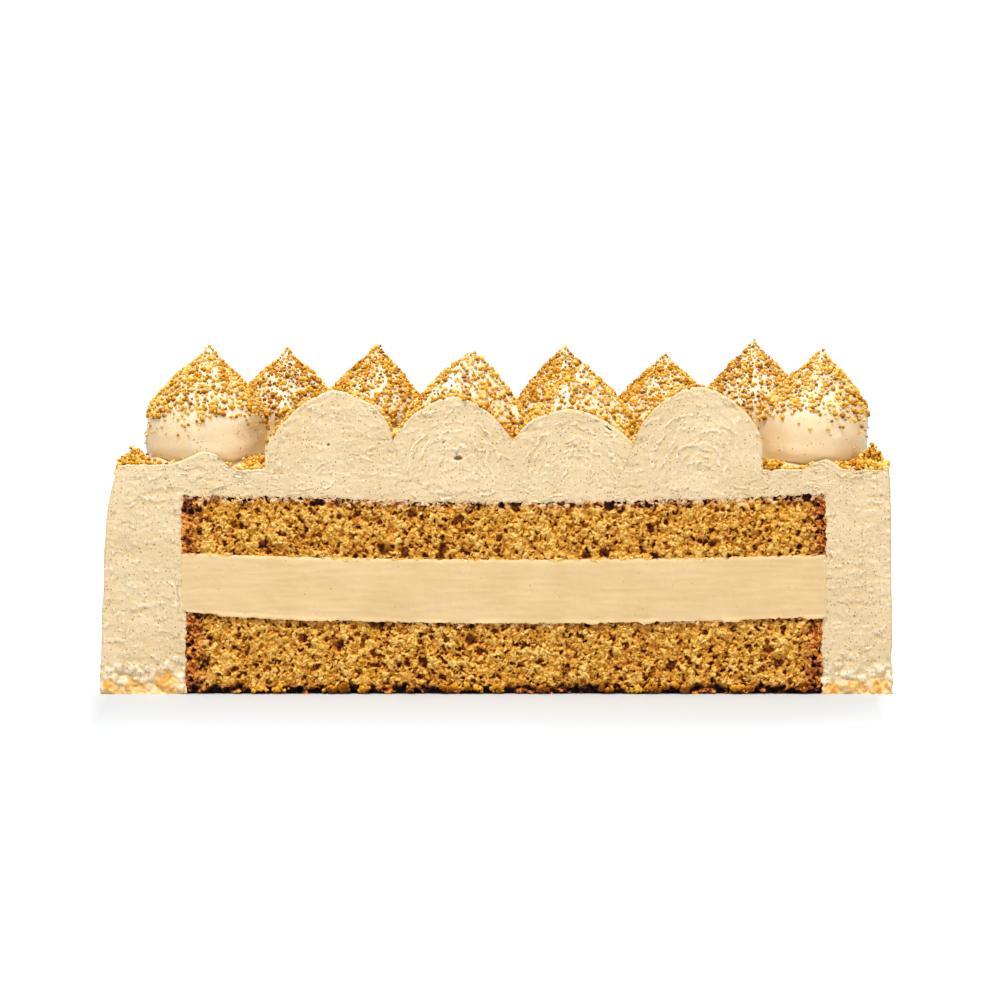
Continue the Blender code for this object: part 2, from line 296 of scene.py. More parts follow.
def studio_floor():
    """White paper with a soft shadow in front of the cake. It fades into the bright studio around it."""
    made = Finish("floor", 0.7)
    made.colour((0.562, 0.6, 0.645, 1))
    made.shader.inputs["Emission Color"].default_value = (1, 1, 1, 1)
    place = made.add("SeparateXYZ", Vector=made.place)
    ahead = made.math("MAXIMUM", made.math("SUBTRACT", CUT_Y * MM, place.outputs["Y"]), 0.0)
    behind = made.math("MAXIMUM", made.math("SUBTRACT", place.outputs["Y"], CUT_Y * MM), 0.0)
    near = made.add("MapRange", Value=ahead, From_Max=NEAR_REACH * MM, To_Max=NEAR_GLOW).outputs[0]
    far = made.range(ahead, NEAR_REACH * MM, FAR_REACH * MM, 0.0, FAR_GLOW)
    across = made.math("SUBTRACT", place.outputs["X"], SHADOW_MIDDLE * MM)
    squares = made.math("ADD", made.math("POWER", across, 2.0), made.math("POWER", behind, 2.0))
    aside = made.math("MULTIPLY_ADD", ahead, VIEW_SLOPE, made.math("SQRT", squares))
    strongest = made.range(behind, 0.0, BEHIND_REACH * MM, SIDE_GLOW, BESIDE_GLOW)
    side = made.math("MULTIPLY", made.range(aside, SIDE_FROM * MM, SIDE_TO * MM), strongest)
    glow = made.math("MAXIMUM", made.math("ADD", near, far), side)
    seen_share = made.range(made.add("LightPath").outputs["Is Camera Ray"], 0.0, 1.0, GLOW_ON_CAKE, 1.0)
    made.feed(made.shader.inputs["Emission Strength"], made.math("MULTIPLY", glow, seen_share))
    return made.material


bm = bmesh.new()
bmesh.ops.create_grid(bm, x_segments=2, y_segments=2, size=FLOOR_SIDE / 2 * MM)
floor_mesh = bpy.data.meshes.new("floor")
bm.to_mesh(floor_mesh)
bm.free()
floor_mesh.materials.append(studio_floor())
floor = bpy.data.objects.new("floor", floor_mesh)
scene.collection.objects.link(floor)

# %% [markdown]
# ## Finishes of the creams
#
# Whipped cream isn't quite white or smooth. At the cut it shows tiny air holes and specks, a hint of yellow,
# and a soft glow, as light enters it. High up on the dollops its colour is painted paler: painted light on
# the upper cream. The filling is firmer, smoother and more tan. A subsurface share gives the glow, and a
# Voronoi pattern gives one speck to each of its cells, of which only some are used; where a speck stands for
# a tiny air hole its dark is painted shade, and so is the dark of the larger air holes. Relief at the cut is
# painted lighter where it stands out and darker where it sinks in, and thin crinkles are painted lighter:
# painted highlights and painted shade. The wall goes without the glow: where two pieces touch, each would
# swallow light and draw a dark seam.

# %% Finish of the creams
SPECK_SPACING = 0.95
PAINTED_LIGHT_FROM, PAINTED_LIGHT_TO = 64, 76


def in_the_cut(made):
    """Coordinates that lie in the plane of the cut: across and up."""
    split = made.add("SeparateXYZ", Vector=made.place)
    return made.add("CombineXYZ", X=split.outputs["X"], Y=split.outputs["Z"]).outputs[0]


def specks(made, flat, share):
    """Dark dots: specks in the cream, and tiny air holes whose dark is painted shade. 1 on a dot and 0
    elsewhere.
    """
    place = in_the_cut(made) if flat else made.place
    settings = {"voronoi_dimensions": "2D" if flat else "3D"}
    cells = made.add("TexVoronoi", settings, Vector=place, Scale=1 / (SPECK_SPACING * MM), Randomness=1.0)
    dice = made.add("SeparateColor", Color=cells.outputs["Color"])
    chosen = made.math("LESS_THAN", dice.outputs[0], share)
    size = made.math("MULTIPLY_ADD", made.math("POWER", dice.outputs[1], 3.0), 0.15, 0.07)
    return made.math("MULTIPLY", chosen, made.math("LESS_THAN", cells.outputs["Distance"], size))


def crinkles(made, size_mm, count, width):
    """Thin ragged lines that follow each other, as the contour lines of a hill do."""
    hills = made.noise(size_mm, detail=5, roughness=0.6, stretch=(0.55, 1, 1))
    away = made.math("PINGPONG", made.math("MULTIPLY", hills, count), 0.5)
    return made.range(away, 0.0, width, 1.0, 0.0)


def cream_finish(name, light, dark, roughness, speck_share, torn=0.0, glow=0.0, flat=False):
    """Cream with air holes. Torn is the height of its crinkles in mm. Glow is the light that enters."""
    made = Finish(name, roughness)
    base = made.mix(made.range(made.noise(9, detail=4), 0.3, 0.7), light, dark)
    relief = made.math("MULTIPLY", made.noise(0.5, detail=4, roughness=0.6), 0.05)
    if not flat:
        height = made.add("SeparateXYZ", Vector=made.place).outputs["Z"]
        # Higher up, the cream is mixed towards a paler colour: painted light on the upper dollops and mounds.
        base = made.mix(made.range(height, PAINTED_LIGHT_FROM * MM, PAINTED_LIGHT_TO * MM), base, srgb(248, 232, 202))
    share = speck_share
    if torn:
        painted_relief_light = made.attribute("painted_relief_light")
        lines = made.math("MULTIPLY", crinkles(made, 4.5, 9, 0.12), made.range(made.noise(3.5), 0.45, 0.6))
        relief = made.math("ADD", relief, made.math("MULTIPLY", lines, torn))
        # The thin crinkles are painted lighter as well: painted highlight along them.
        base = made.mix(made.math("MULTIPLY", lines, 0.3), base, srgb(250, 238, 214))
        # Where the relief stands out the colour is painted lighter, and where it sinks in darker: painted
        # highlight and painted shade.
        base = made.mix(made.range(painted_relief_light, 0.1, 0.9, 0.0, 0.6), base, srgb(252, 242, 220))
        base = made.mix(made.range(painted_relief_light, -0.1, -1.0, 0.0, 0.5), base, srgb(206, 166, 98))
        share = made.range(made.noise(5), 0.35, 0.65, speck_share, 1.0)
    speck = specks(made, flat, share)
    # The dots are mixed in dark; for the tiny air holes that is painted shade.
    shown = made.mix(made.math("MULTIPLY", speck, 0.88), base, srgb(146, 100, 28))
    patches = made.range(made.noise(1.6, detail=3), 0.35, 0.65)
    biscuit_mixed_in = made.mix(patches, srgb(250, 216, 142), srgb(232, 162, 56))
    pressed_in = made.mix(made.attribute("gold"), shown, biscuit_mixed_in)
    # Air holes that the knife opened are mixed to a dark brown: painted shade in the holes.
    made.colour(made.mix(made.attribute("hollow"), pressed_in, srgb(150, 116, 44)))
    made.bump(relief, 1.0)
    made.shader.inputs["Subsurface Weight"].default_value = glow
    made.shader.inputs["Subsurface Radius"].default_value = (0.95, 0.75, 0.5)
    made.shader.inputs["Subsurface Scale"].default_value = 2.2 * MM
    return made.material


smooth_cream = {"light": srgb(234, 213, 175), "dark": srgb(228, 205, 163), "roughness": 0.38}
cut_cream = cream_finish("cut cream", srgb(227, 205, 165), srgb(220, 195, 150), 0.5, 0.5, 0.08, flat=True)
piped_cream = cream_finish("piped cream", **smooth_cream, speck_share=0.15, torn=0.05, glow=0.9)
wall_cream = cream_finish("wall cream", **smooth_cream, speck_share=0.15, torn=0.05)
firm_filling = cream_finish("firm filling", srgb(225, 197, 148), srgb(220, 189, 138), 0.42, 0.08, glow=0.1)
print("four creams")

# %% [markdown]
# ## Finish of the sponge
#
# The crumb's colour follows its depth: raised flakes are painted pale, and pores and crevices brown, which is
# painted light and painted shade. The mesh carries that painted light as an attribute, and three more: how
# toasted the place is, how much cream is smeared on it, and a number that differs from flake to flake. The
# ramp turns the painted light into the colour of crumb.

# %% Finish of the sponge


def sponge_finish():
    """Crumb whose colour follows its height attribute, painted light and shade from its depth, with toasted
    and smeared places.
    """
    made = Finish("sponge crumb", 0.85)
    grain = made.noise(0.5, detail=4, roughness=0.75)
    height = made.math("ADD", made.attribute("height"), made.math("MULTIPLY_ADD", grain, 0.6, -0.29))
    crumb = made.ramp(
        height,
        (0.0, srgb(66, 24, 0)),
        (0.3, srgb(128, 62, 0)),
        (0.54, srgb(205, 129, 16)),
        (0.78, srgb(243, 184, 64)),
        (1.0, srgb(255, 224, 134)),
    )
    crust = made.ramp(
        height,
        (0.37, srgb(20, 4, 0)),
        (0.58, srgb(88, 32, 0)),
        (0.78, srgb(200, 102, 8)),
        (1.0, srgb(255, 186, 78)),
    )
    orange = made.mix(made.math("MULTIPLY", made.attribute("flake"), 0.5), crumb, srgb(216, 128, 26))
    toasted = made.mix(made.attribute("toast"), orange, crust)
    cream_on_flakes = made.math("MULTIPLY", made.attribute("smear"), made.range(height, 0.58, 0.72))
    made.colour(made.mix(cream_on_flakes, toasted, srgb(255, 221, 172)))
    made.bump(grain, 0.3, 0.9)
    return made.material


sponge_crumb = sponge_finish()

# %% [markdown]
# ## Finish of the biscuit crumbs
#
# Each crumb is a rounded nugget of caramelised biscuit. No two have quite the same colour, so each one's
# vertices carry its shade, and noise adds paler and darker patches within a crumb. The shade also falls
# towards a crumb's underside and rises towards its top: painted shade below and painted light above.

# %% Finish of the biscuit crumbs


def biscuit_finish():
    """Caramelised biscuit whose colour follows the shade that a crumb carries."""
    made = Finish("biscuit crumb", 0.7)
    made.shader.inputs["Specular IOR Level"].default_value = 0.2
    patches = made.noise(0.7, detail=3)
    value = made.math("ADD", made.attribute("shade"), made.math("MULTIPLY_ADD", patches, 0.5, -0.25))
    made.colour(
        made.ramp(
            value,
            (0.0, srgb(128, 66, 0)),
            (0.35, srgb(205, 138, 10)),
            (0.75, srgb(235, 183, 62)),
            (1.0, srgb(251, 216, 132)),
        )
    )
    made.bump(patches, 0.15, 0.6)
    return made.material


biscuit = biscuit_finish()

# %% [markdown]
# ## Finishing a piece
#
# All pieces end the same way: the mesh, scaled from millimetres to metres where it isn't already, is shaded
# smooth unless it should stay faceted, and the new object rides on the cake's one body. A piece that stands
# for solids of the frame names them, and they are hidden.

# %% Helper that finishes a piece


def finish_piece(name, bm, material, nodes=()):
    """An object from a bmesh in millimetres."""
    bmesh.ops.scale(bm, vec=(MM, MM, MM), verts=bm.verts)
    mesh = bpy.data.meshes.new(name)
    bm.to_mesh(mesh)
    bm.free()
    return finish_mesh(name, mesh, material, nodes)


def finish_mesh(name, mesh, material, nodes=(), smooth_faces=True):
    """An object from a mesh in metres."""
    if smooth_faces:
        mesh.shade_smooth()
    mesh.materials.append(material)
    piece = bpy.data.objects.new(name, mesh)
    scene.collection.objects.link(piece)
    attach(piece, "root")
    if nodes:
        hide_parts(*nodes)
    mesh.calc_loop_triangles()
    print(f"{name}: {len(mesh.loop_triangles)} triangles")
    return piece


# %% [markdown]
# ## The outline of the cut
#
# The knife shows the cake's section: a cream wall at each end, a shelf of cream, and four mounds that it
# went through. The wall leans in on the left and stands upright on the right. Each mound is an arc that is
# fuller on one side than on the other. Heights come from formulas, so the outline is smooth at any spacing
# of points.

# %% Walls and shelf
CAKE_RADIUS = (cad_box[1].x - cad_box[0].x) / 2 / MM
LEDGE = 57.0
LEAN_LEFT, LEAN_RIGHT = 2.1, 0.4
SHOULDER_LEFT, SHOULDER_RIGHT = 2.5, 0.5


def wall_radius(angle, height):
    """Radius of the wall at an angle round the cake. The right end of the cut is at angle 0."""
    left = (1 - math.cos(angle)) / 2
    up = min(1.0, height / LEDGE)
    lean = LEAN_RIGHT + (LEAN_LEFT - LEAN_RIGHT) * left
    shoulder = SHOULDER_RIGHT + (SHOULDER_LEFT - SHOULDER_RIGHT) * left
    x, y = math.cos(angle) * CAKE_RADIUS, math.sin(angle) * CAKE_RADIUS
    wave = 0.5 * (bumps(x / 26, y / 26, height / 26) - 1) * math.sin(angle)
    return CAKE_RADIUS - lean * up**1.3 - shoulder * up**9 + wave


# The cream that the knife pushed up: x, rise, and how far it spreads to the left and right
HUMPS = ((-72.6, 4.1, 6.2, 5.0), (83.4, 2.9, 4.6, 4.2))


def shelf(x):
    """Height of the shelf at the cut, with the cream that the knife pushed up."""
    height = LEDGE - 0.5 + 1.7 * smooth(-67, -80, x) - 0.9 * smooth(84, 91, x) + 1.5 * smooth(92, 99, x)
    for middle, rise, left, right in HUMPS:
        spread = left if x < middle else right
        height += rise * math.exp(-(((x - middle) / spread) ** 2))
    return height


# %% Mounds
MOUND_FOOT = 6.0
# Left foot, peak, right foot, height over the shelf, and fullness to the left and right: less is fuller
MOUNDS = (
    (-58.4, -41.4, -26.2, 20.0, 0.95, 0.42),
    (-26.6, -10.4, 4.8, 18.5, 0.68, 0.80),
    (4.3, 18.5, 35.3, 15.4, 0.53, 0.90),
    (34.9, 51.0, 67.4, 20.9, 0.60, 0.60),
)


def mound_height(mound, x):
    """Height of a mound over the shelf. Its foot is upright."""
    left, peak, right, height, full_left, full_right = mound
    if not left < x < right:
        return 0.0
    share = (peak - x) / (peak - left) if x < peak else (x - peak) / (right - peak)
    fullness = full_left if x < peak else full_right
    return MOUND_FOOT + (height - MOUND_FOOT) * (1 - share**1.6) ** fullness


def cut_top(x):
    """Height of the cut's upper outline."""
    return max(shelf(x), *(LEDGE + mound_height(mound, x) for mound in MOUNDS))


print("peaks of the mounds:", [round(cut_top(mound[1]), 1) for mound in MOUNDS])

# %% The stack inside
bottom_low, bottom_high = (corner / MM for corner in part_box("sponge_bottom"))
filling_low, filling_high = (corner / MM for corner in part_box("filling_cream"))
top_low, top_high = (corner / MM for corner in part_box("sponge_top"))
STACK_X = (top_low.x + top_high.x) / 2
STACK_RADIUS = (top_high.x - top_low.x) / 2
BOTTOM_RADIUS = STACK_X - bottom_low.x + 0.5
# How much higher a layer's edge is at the left end, in the middle and at the right end than in the frame
TOP_EDGE = (0.7, -1.0, 1.2)
FILLING_EDGE = (1.7, 0.0, 1.2)
BOTTOM_EDGE = (1.9, -1.1, 0.6)


def sagged(edge_height, rises, x):
    """Height of a layer's edge at x: the layers sag between the two ends."""
    left, middle, right = rises
    share = (x - STACK_X) / STACK_RADIUS
    return edge_height + middle + ((left if share < 0 else right) - middle) * share**2


def top_edge(x):
    """Height of the upper disc's top edge. It stands a little higher on the left of the middle."""
    return sagged(top_high.z, TOP_EDGE, x) + 0.6 * math.exp(-(((x + 48) / 17) ** 2))


def stack_side(z, side):
    """X of the stack's edge at a height. Side is -1 on the left and 1 on the right."""
    radius = np.interp(
        z,
        (bottom_high.z - 0.4, bottom_high.z + 0.4, filling_high.z - 0.4, filling_high.z + 0.4),
        (BOTTOM_RADIUS, STACK_X - filling_low.x, STACK_X - filling_low.x, STACK_RADIUS),
    )
    return STACK_X + side * radius


print(f"stack: radius {STACK_RADIUS:.1f} mm at x {STACK_X:.1f} mm, {top_high.z:.1f} mm high")

# %% [markdown]
# ## The cut face of the cream
#
# At the cut the cream is a band that goes up the left end, over the stack and down the right end. One grid
# can follow it: its columns run along the band, and its rows go from the stack out to the outline.
# create_grid makes the grid, and each vertex is moved to its place in the band. That keeps the cells small
# and even, so the grid can carry real relief: torn lips where the knife dragged the cream, arcs in the
# mounds, pits and a ragged foot.

# %% Inner and outer edge of the band


def spread(points, count, squeeze=1.0):
    """So many points, evenly spaced along a line. Squeeze makes steep stretches count less."""
    points = np.array(points)
    steps = np.diff(points, axis=0) * (1, squeeze)
    along = np.concatenate([[0], np.cumsum(np.hypot(steps[:, 0], steps[:, 1]))])
    wanted = np.linspace(0, along[-1], count)
    return np.column_stack([np.interp(wanted, along, points[:, axis]) for axis in (0, 1)])


SIDE_COLUMNS, TOP_COLUMNS, ROWS = 175, 640, 94
RISE_STEPS, ACROSS_STEPS = 300, 3000  # points of the outline before they are spread evenly
OVERLAP = 0.25


def ragged(position, seed):
    """How far the cream reaches over the edge of the stack, in millimetres."""
    return OVERLAP + 0.45 * bumps(position / 2.1, 0, 0, seed) + 0.5 * bumps(position / 0.75, 0, 0, seed)


def edge_swell(z, side):
    """How far the knife pressed the wall outwards at the cut, most of all at the foot."""
    foot = smooth(9, 5, z) * (0.35 + 0.5 * bumps(z / 1.6, side, 0, 6))
    return 0.35 + 0.25 * bumps(z / 5, side, 0, 5) + foot


def side_of_band(side):
    """The inner and the outer edge at one end of the cut, from the floor up."""
    angle = math.pi if side < 0 else 0.0
    corner = top_high.z - 0.2
    heights = np.linspace(0, corner, SIDE_COLUMNS)
    inner = [(stack_side(z, side) - side * ragged(z, 3 + side), z) for z in heights]
    rim_x = side * wall_radius(angle, LEDGE)
    rise = np.linspace(0, shelf(rim_x), RISE_STEPS)
    outline = [(side * (wall_radius(angle, z) + edge_swell(z, side)), z) for z in rise]
    return inner, spread(outline, SIDE_COLUMNS)


left_inner, left_outer = side_of_band(-1)
right_inner, right_outer = side_of_band(1)
over_stack = np.linspace(left_inner[-1][0], right_inner[-1][0], TOP_COLUMNS)
top_inner = []
for x in over_stack:
    from_corner = min(x - over_stack[0], over_stack[-1] - x)
    top_inner.append((x, top_edge(x) - ragged(x, 9) * smooth(0, 2, from_corner)))
across = np.linspace(left_outer[-1][0], right_outer[-1][0], ACROSS_STEPS)
uneven = [(x, cut_top(x) + 0.3 * bumps(x / 2.3, 0, 0, 8) + 0.15 * bumps(x / 0.8, 0, 0, 8)) for x in across]
top_outer = spread(uneven, TOP_COLUMNS, squeeze=0.35)
inner_edge = np.array([*left_inner[:-1], *top_inner, *right_inner[::-1][1:]])
outer_edge = np.array([*left_outer[:-1], *top_outer, *right_outer[::-1][1:]])
print(f"band of {len(inner_edge)} columns and {ROWS} rows")

# %% Relief of the cut cream


def lip(value, softness=0.09):
    """0 or 1, with a short slope between where the value changes sign: an edge of torn cream."""
    return min(1.0, max(0.0, 0.5 + value / softness))


def crinkle(value, width):
    """1 on thin lines where the value passes a whole number, and 0 between them."""
    return max(0.0, 1 - abs(value - round(value)) / width)


def dragged(x, z):
    """Ragged lips that run sideways, where the knife dragged the cream."""
    depth = 0.0
    for seed, length, thickness, size in ((11, 9, 3.2, 0.13), (12, 5, 1.8, 0.12), (13, 2.6, 1.1, 0.06)):
        swirl = 0.6 * bumps(x / 5, seed, z / 4, 2)
        where = smooth(-0.15, 0.25, bumps(x / 7, seed, z / 5, 4))
        torn = 0.16 * bumps(x / 0.8, seed, z / 0.7)
        depth += size * where * lip(bumps(x / length + swirl, seed, z / thickness + swirl) + torn, 0.05)
    for seed, spacing, size in ((14, 2.7, 0.3), (15, 1.6, 0.19), (16, 1.1, 0.08)):
        where = smooth(0.05, 0.3, bumps(x / (1.6 * spacing), seed, z / spacing))
        wave = 1.5 * bumps(x / (1.5 * spacing), seed + 9, z / spacing) + 0.14 * bumps(x / 0.7, seed, z / 0.7)
        depth -= size * where * crinkle(z / spacing + wave, 0.1)
    return depth


def arcs(x, z, mound):
    """Crinkles of a cut mound that follow its outline, and how much they rule there. Its rim is smooth."""
    left, peak, right, height, *_ = mound
    half = (right - left) / 2
    sideways, up = (x - peak) / half, (z - LEDGE + 6) / (height + 6)
    reach = math.hypot(sideways, up)
    if up < 0 or reach > 0.95:
        return 0.0, 0.0
    turn = math.atan2(up, sideways)
    depth = 0.0
    for seed, thickness, length, size in ((21, 2.2, 12, 0.11), (22, 1.3, 8, 0.06)):
        swirl = 0.5 * bumps(x / 3.5, seed, z / 3.5, 6) + 0.14 * bumps(x / 0.8, seed, z / 0.8)
        depth += size * lip(bumps(reach * half / thickness + swirl, seed, turn * half / length), 0.07)
    for seed, spacing, size in ((23, 2.5, 0.3), (24, 1.5, 0.17)):
        where = smooth(-0.25, 0.1, bumps(x / 4.5, seed, z / 2.2))
        wave = 0.6 * bumps(x / 3.2, seed, z / 3.2) + 0.14 * bumps(x / 0.8, seed, z / 0.8)
        depth -= size * where * crinkle(reach * half / spacing + wave, 0.1)
    rule = smooth(0.95, 0.8, reach) * smooth(0.0, 0.3, up)
    return depth * rule, rule


def pits(x, z):
    """A few air holes that are large enough to see as holes."""
    distances, points = noise.voronoi(Vector((x / 2.3, 7, z / 2.3)))
    chance = (points[0].x * 37.7) % 1
    return 0.45 * smooth(0.05 + 0.1 * chance, 0.02, distances[0]) if chance > 0.5 else 0.0


GOLD = (  # x, z, half width and half height of the patches of biscuit pressed into the foot
    (-97.8, 2.2, 1.9, 2.0),
    (-91.6, 2.2, 2.3, 1.8),
    (-83.8, 3.0, 3.0, 2.8),
    (85.0, 1.6, 2.4, 1.6),
    (91.0, 1.9, 3.0, 1.7),
    (96.8, 2.0, 2.6, 2.0),
)
HOLLOWS = (  # x, z, half width, half height and turn of air holes that the knife opened
    (-9.6, 59.8, 1.15, 0.62, 0.0),
    (28.3, 67.4, 1.2, 0.2, -0.6),
    (-42.4, 63.2, 0.35, 0.28, 0.0),
    (-13.2, 63.9, 0.5, 0.2, 0.5),
)


def hollow(x, z):
    """1 in an air hole and 0 elsewhere."""
    deepest = 0.0
    for middle_x, middle_z, half_width, half_height, turn in HOLLOWS:
        across, up = x - middle_x, z - middle_z
        along = (across * math.cos(turn) + up * math.sin(turn)) / half_width
        beside = (up * math.cos(turn) - across * math.sin(turn)) / half_height
        deepest = max(deepest, smooth(1.15, 0.7, math.hypot(along, beside)))
    return deepest


def golden(x, z):
    """How much biscuit is pressed into the cream at a place, from 0 to 1."""
    share = 0.7 * smooth(2.2, 0.7, z + 1.3 * bumps(x / 2.2, 6, 0))
    for middle_x, middle_z, half_width, half_height in GOLD:
        distance = math.hypot((x - middle_x) / half_width, (z - middle_z) / half_height)
        share = max(share, smooth(1.2, 0.7, distance + 0.6 * bumps(x / 1.4, 5, z / 1.4)))
    return share


def bent(x, z, seeds, *waves):
    """A place moved about by noise, so that the cells that are looked up there have ragged edges."""
    return [
        middle + sum(size * bumps(x / length, seed, z / length) for size, length in waves)
        for middle, seed in zip((x, z), seeds)
    ]


def torn_foot(x, z):
    """Lumps of torn cream near the floor, and grains where biscuit is pressed in."""
    foot = smooth(10.5, 5.0, z + 3.5 * bumps(x / 5, 4, 0))
    if foot == 0:
        return 0.0
    bent_x, bent_z = bent(x, z, (4, 8), (1.1, 2), (0.2, 0.6))
    large, _ = noise.voronoi(Vector((bent_x / 3.4, 4, bent_z / 2.8)))
    small, _ = noise.voronoi(Vector((bent_x / 1.5, 4, bent_z / 1.2)))
    depth = foot * (1.5 * large[0] + 0.2 * small[0] - 0.75)
    return depth + golden(x, z) * (0.9 * small[0] - 0.5)


def groove(x, z):
    """A furrow beside the stack, where the blade lifted the cream off the sponge."""
    if not 7 < z < 50:
        return 0.0
    side = -1 if x < STACK_X else 1
    beside = side * (x - stack_side(z, side)) - 1.5 - 1.4 * bumps(z / 5, side, 0, 14)
    strength = smooth(0.0, 0.4, bumps(z / 5, side, 0, 15) + 0.1)
    return 0.25 * strength * smooth(0.5, 0.0, abs(beside))


def cream_depth(x, z):
    """How far the cut cream lies behind the knife's plane, in millimetres."""
    depth = 0.5 + 0.12 * bumps(x / 10, 1, z / 8) + pits(x, z)
    depth += 0.05 * bumps(x / 1.3, 3, z / 1.0) + 0.03 * bumps(x / 0.6, 3, z / 0.5)
    sideways = 1.0
    for mound, share in zip(MOUNDS, (0.25, 1.0, 1.0, 1.0)):
        ridges, rule = arcs(x, z, mound)
        depth += share * ridges
        sideways -= 0.65 * share * rule
    depth += sideways * dragged(x, z) + torn_foot(x, z)
    return depth + groove(x, z) + 0.6 * hollow(x, z)


# %% Cream sheet at the cut


def sharpen(edges):
    """Marks edges that smooth shading would otherwise blur."""
    for edge in edges:
        edge.smooth = False


def close_behind(bm, depth, radius=0.0):
    """Gives a sheet at the cut a flat back, so that it is a solid. With a radius the back is a half disc."""
    open_edges = [edge for edge in bm.edges if edge.is_boundary]
    sharpen(open_edges)
    for back_radius in (0.0, radius) if radius else (0.0,):
        made = bmesh.ops.extrude_edge_only(bm, edges=open_edges)["geom"]
        for vertex in made:
            if isinstance(vertex, bmesh.types.BMVert):
                aside = min(abs(vertex.co.x - STACK_X), back_radius)
                nearest = depth + 0.1 * bool(back_radius)
                vertex.co.y = CUT_Y + max(nearest, math.sqrt(back_radius**2 - aside**2))
        open_edges = [edge for edge in made if isinstance(edge, bmesh.types.BMEdge) and edge.is_boundary]
    sharpen(open_edges)
    bmesh.ops.holes_fill(bm, edges=open_edges, sides=0)
    bmesh.ops.recalc_face_normals(bm, faces=bm.faces)


def blurred(values, reach):
    """The mean of the values within so many cells of each cell."""
    size = 2 * reach + 1
    sums = np.pad(np.pad(values, reach, mode="edge").cumsum(axis=0).cumsum(axis=1), ((1, 0), (1, 0)))
    return (sums[size:, size:] - sums[:-size, size:] - sums[size:, :-size] + sums[:-size, :-size]) / size**2


def rim_rounding(z, from_outline, from_stack):
    """How far the cream's edges curve back, behind a thin burr. Beside the filling the edge is rounder."""
    beside_filling = bottom_high.z < z < filling_high.z
    rounding = 0.4 if beside_filling else 0.12
    burr = 0.06 * math.exp(-(((from_outline - 0.75) / 0.3) ** 2)) if z > LEDGE - 3 else 0.0
    return 0.6 * smooth(0.7, 0.0, from_outline) ** 2 - burr + rounding * smooth(0.5, 0.0, from_stack) ** 2


SHEET_BACK = 3.2
RIDGE_REACH = 3
RIDGE_HEIGHT = 0.13

bm = bmesh.new()
layers = bm.verts.layers.float
gold_layer, hollow_layer, painted_relief_light_layer = (layers.new(name) for name in ("gold", "hollow", "painted_relief_light"))
columns = len(inner_edge) - 1
bmesh.ops.create_grid(bm, x_segments=columns, y_segments=ROWS, size=1)
depths = np.zeros((columns + 1, ROWS + 1))
cells = {}
for vertex in bm.verts:
    column, row = round((vertex.co.x + 1) / 2 * columns), round((vertex.co.y + 1) / 2 * ROWS)
    cells[vertex] = (column, row)
    share = row / ROWS
    inner, outer = inner_edge[column], outer_edge[column]
    x, z = inner + (outer - inner) * share
    width = math.hypot(*(outer - inner))
    vertex[gold_layer] = golden(x, z)
    vertex[hollow_layer] = hollow(x, z)
    depths[column, row] = cream_depth(x, z)
    vertex.co = (x, CUT_Y + rim_rounding(z, (1 - share) * width, share * width), z)
# Painted light of the relief: above 0 where the cream stands out from its neighbours, below 0 where it sinks
# in.
painted_relief_light = np.clip((blurred(depths, RIDGE_REACH) - depths) / RIDGE_HEIGHT, -1, 1)
for vertex, cell in cells.items():
    vertex.co.y = max(CUT_Y + 0.02, vertex.co.y + depths[cell])
    # Within about 9 mm of the floor the value is raised, so the foot's cream comes out paler.
    vertex[painted_relief_light_layer] = min(1.0, painted_relief_light[cell] + 0.35 * smooth(9, 6, vertex.co.z))
cut_faces = set(bm.faces)
cut_vertices = set(bm.verts)
close_behind(bm, SHEET_BACK)
for face in bm.faces:
    face.material_index = int(face not in cut_faces)
for vertex in bm.verts:
    if vertex not in cut_vertices:
        vertex[painted_relief_light_layer] = 0.0
cut_sheet = finish_piece("cream_cut", bm, cut_cream, ("cream_coat",))
cut_sheet.data.materials.append(wall_cream)

# %% [markdown]
# ## The wall and the top of the coat
#
# Behind the cut the coat is a thick shell of cream round the stack. A profile of the wall and the top, spun
# half a turn, is the natural way to make it. The spin only makes the topology: the radius and the height of
# each vertex then follow the leaning wall, and a spatula's streaks run round it.

# %% Body of the coat
BODY_BEHIND = 3.1
TURN_STEPS = 300
SHARPEST = math.radians(50)
INNER_RADIUS, OUTER_RADIUS = 84.5, 99.9
# Radius and height of each corner of the profile, and the steps from there to the next
BODY_PROFILE = (
    (INNER_RADIUS, 0, 4),
    (OUTER_RADIUS, 0, 57),
    (OUTER_RADIUS, LEDGE - 0.8, 3),
    (OUTER_RADIUS - 0.9, LEDGE, 67),
    (0, LEDGE, 1),
    (0, 48.6, 21),
    (INNER_RADIUS, 50.2, 7),
)

bm = bmesh.new()
profile = []
for (x, z, steps), (end_x, end_z, _) in zip(BODY_PROFILE, BODY_PROFILE[1:] + BODY_PROFILE[:1]):
    for share in np.arange(steps) / steps:
        profile.append(bm.verts.new((x + (end_x - x) * share, CUT_Y, z + (end_z - z) * share)))
for start, end in zip(profile, profile[1:] + profile[:1]):
    if start.co.x or end.co.x:
        bm.edges.new((start, end))
bmesh.ops.spin(
    bm,
    geom=[*bm.verts, *bm.edges],
    cent=(0, CUT_Y, 0),
    axis=(0, 0, 1),
    angle=math.pi,
    steps=TURN_STEPS,
)
bmesh.ops.remove_doubles(bm, verts=bm.verts, dist=0.001)


def streaks(angle, height):
    """Relief of the smoothed wall, in millimetres: long streaks round the cake, and short tears."""
    along = angle * CAKE_RADIUS
    depth = 0.35 * bumps(along / 30, 0, height / 9, 31)
    swirl = 0.3 * bumps(along / 9, 0, height / 6, 2)
    depth += 0.22 * lip(bumps(along / 26 + swirl, 0, height / 2.6, 32), 0.2)
    depth += 0.14 * lip(bumps(along / 9, 0, height / 1.5, 33), 0.2)
    return depth - 0.15


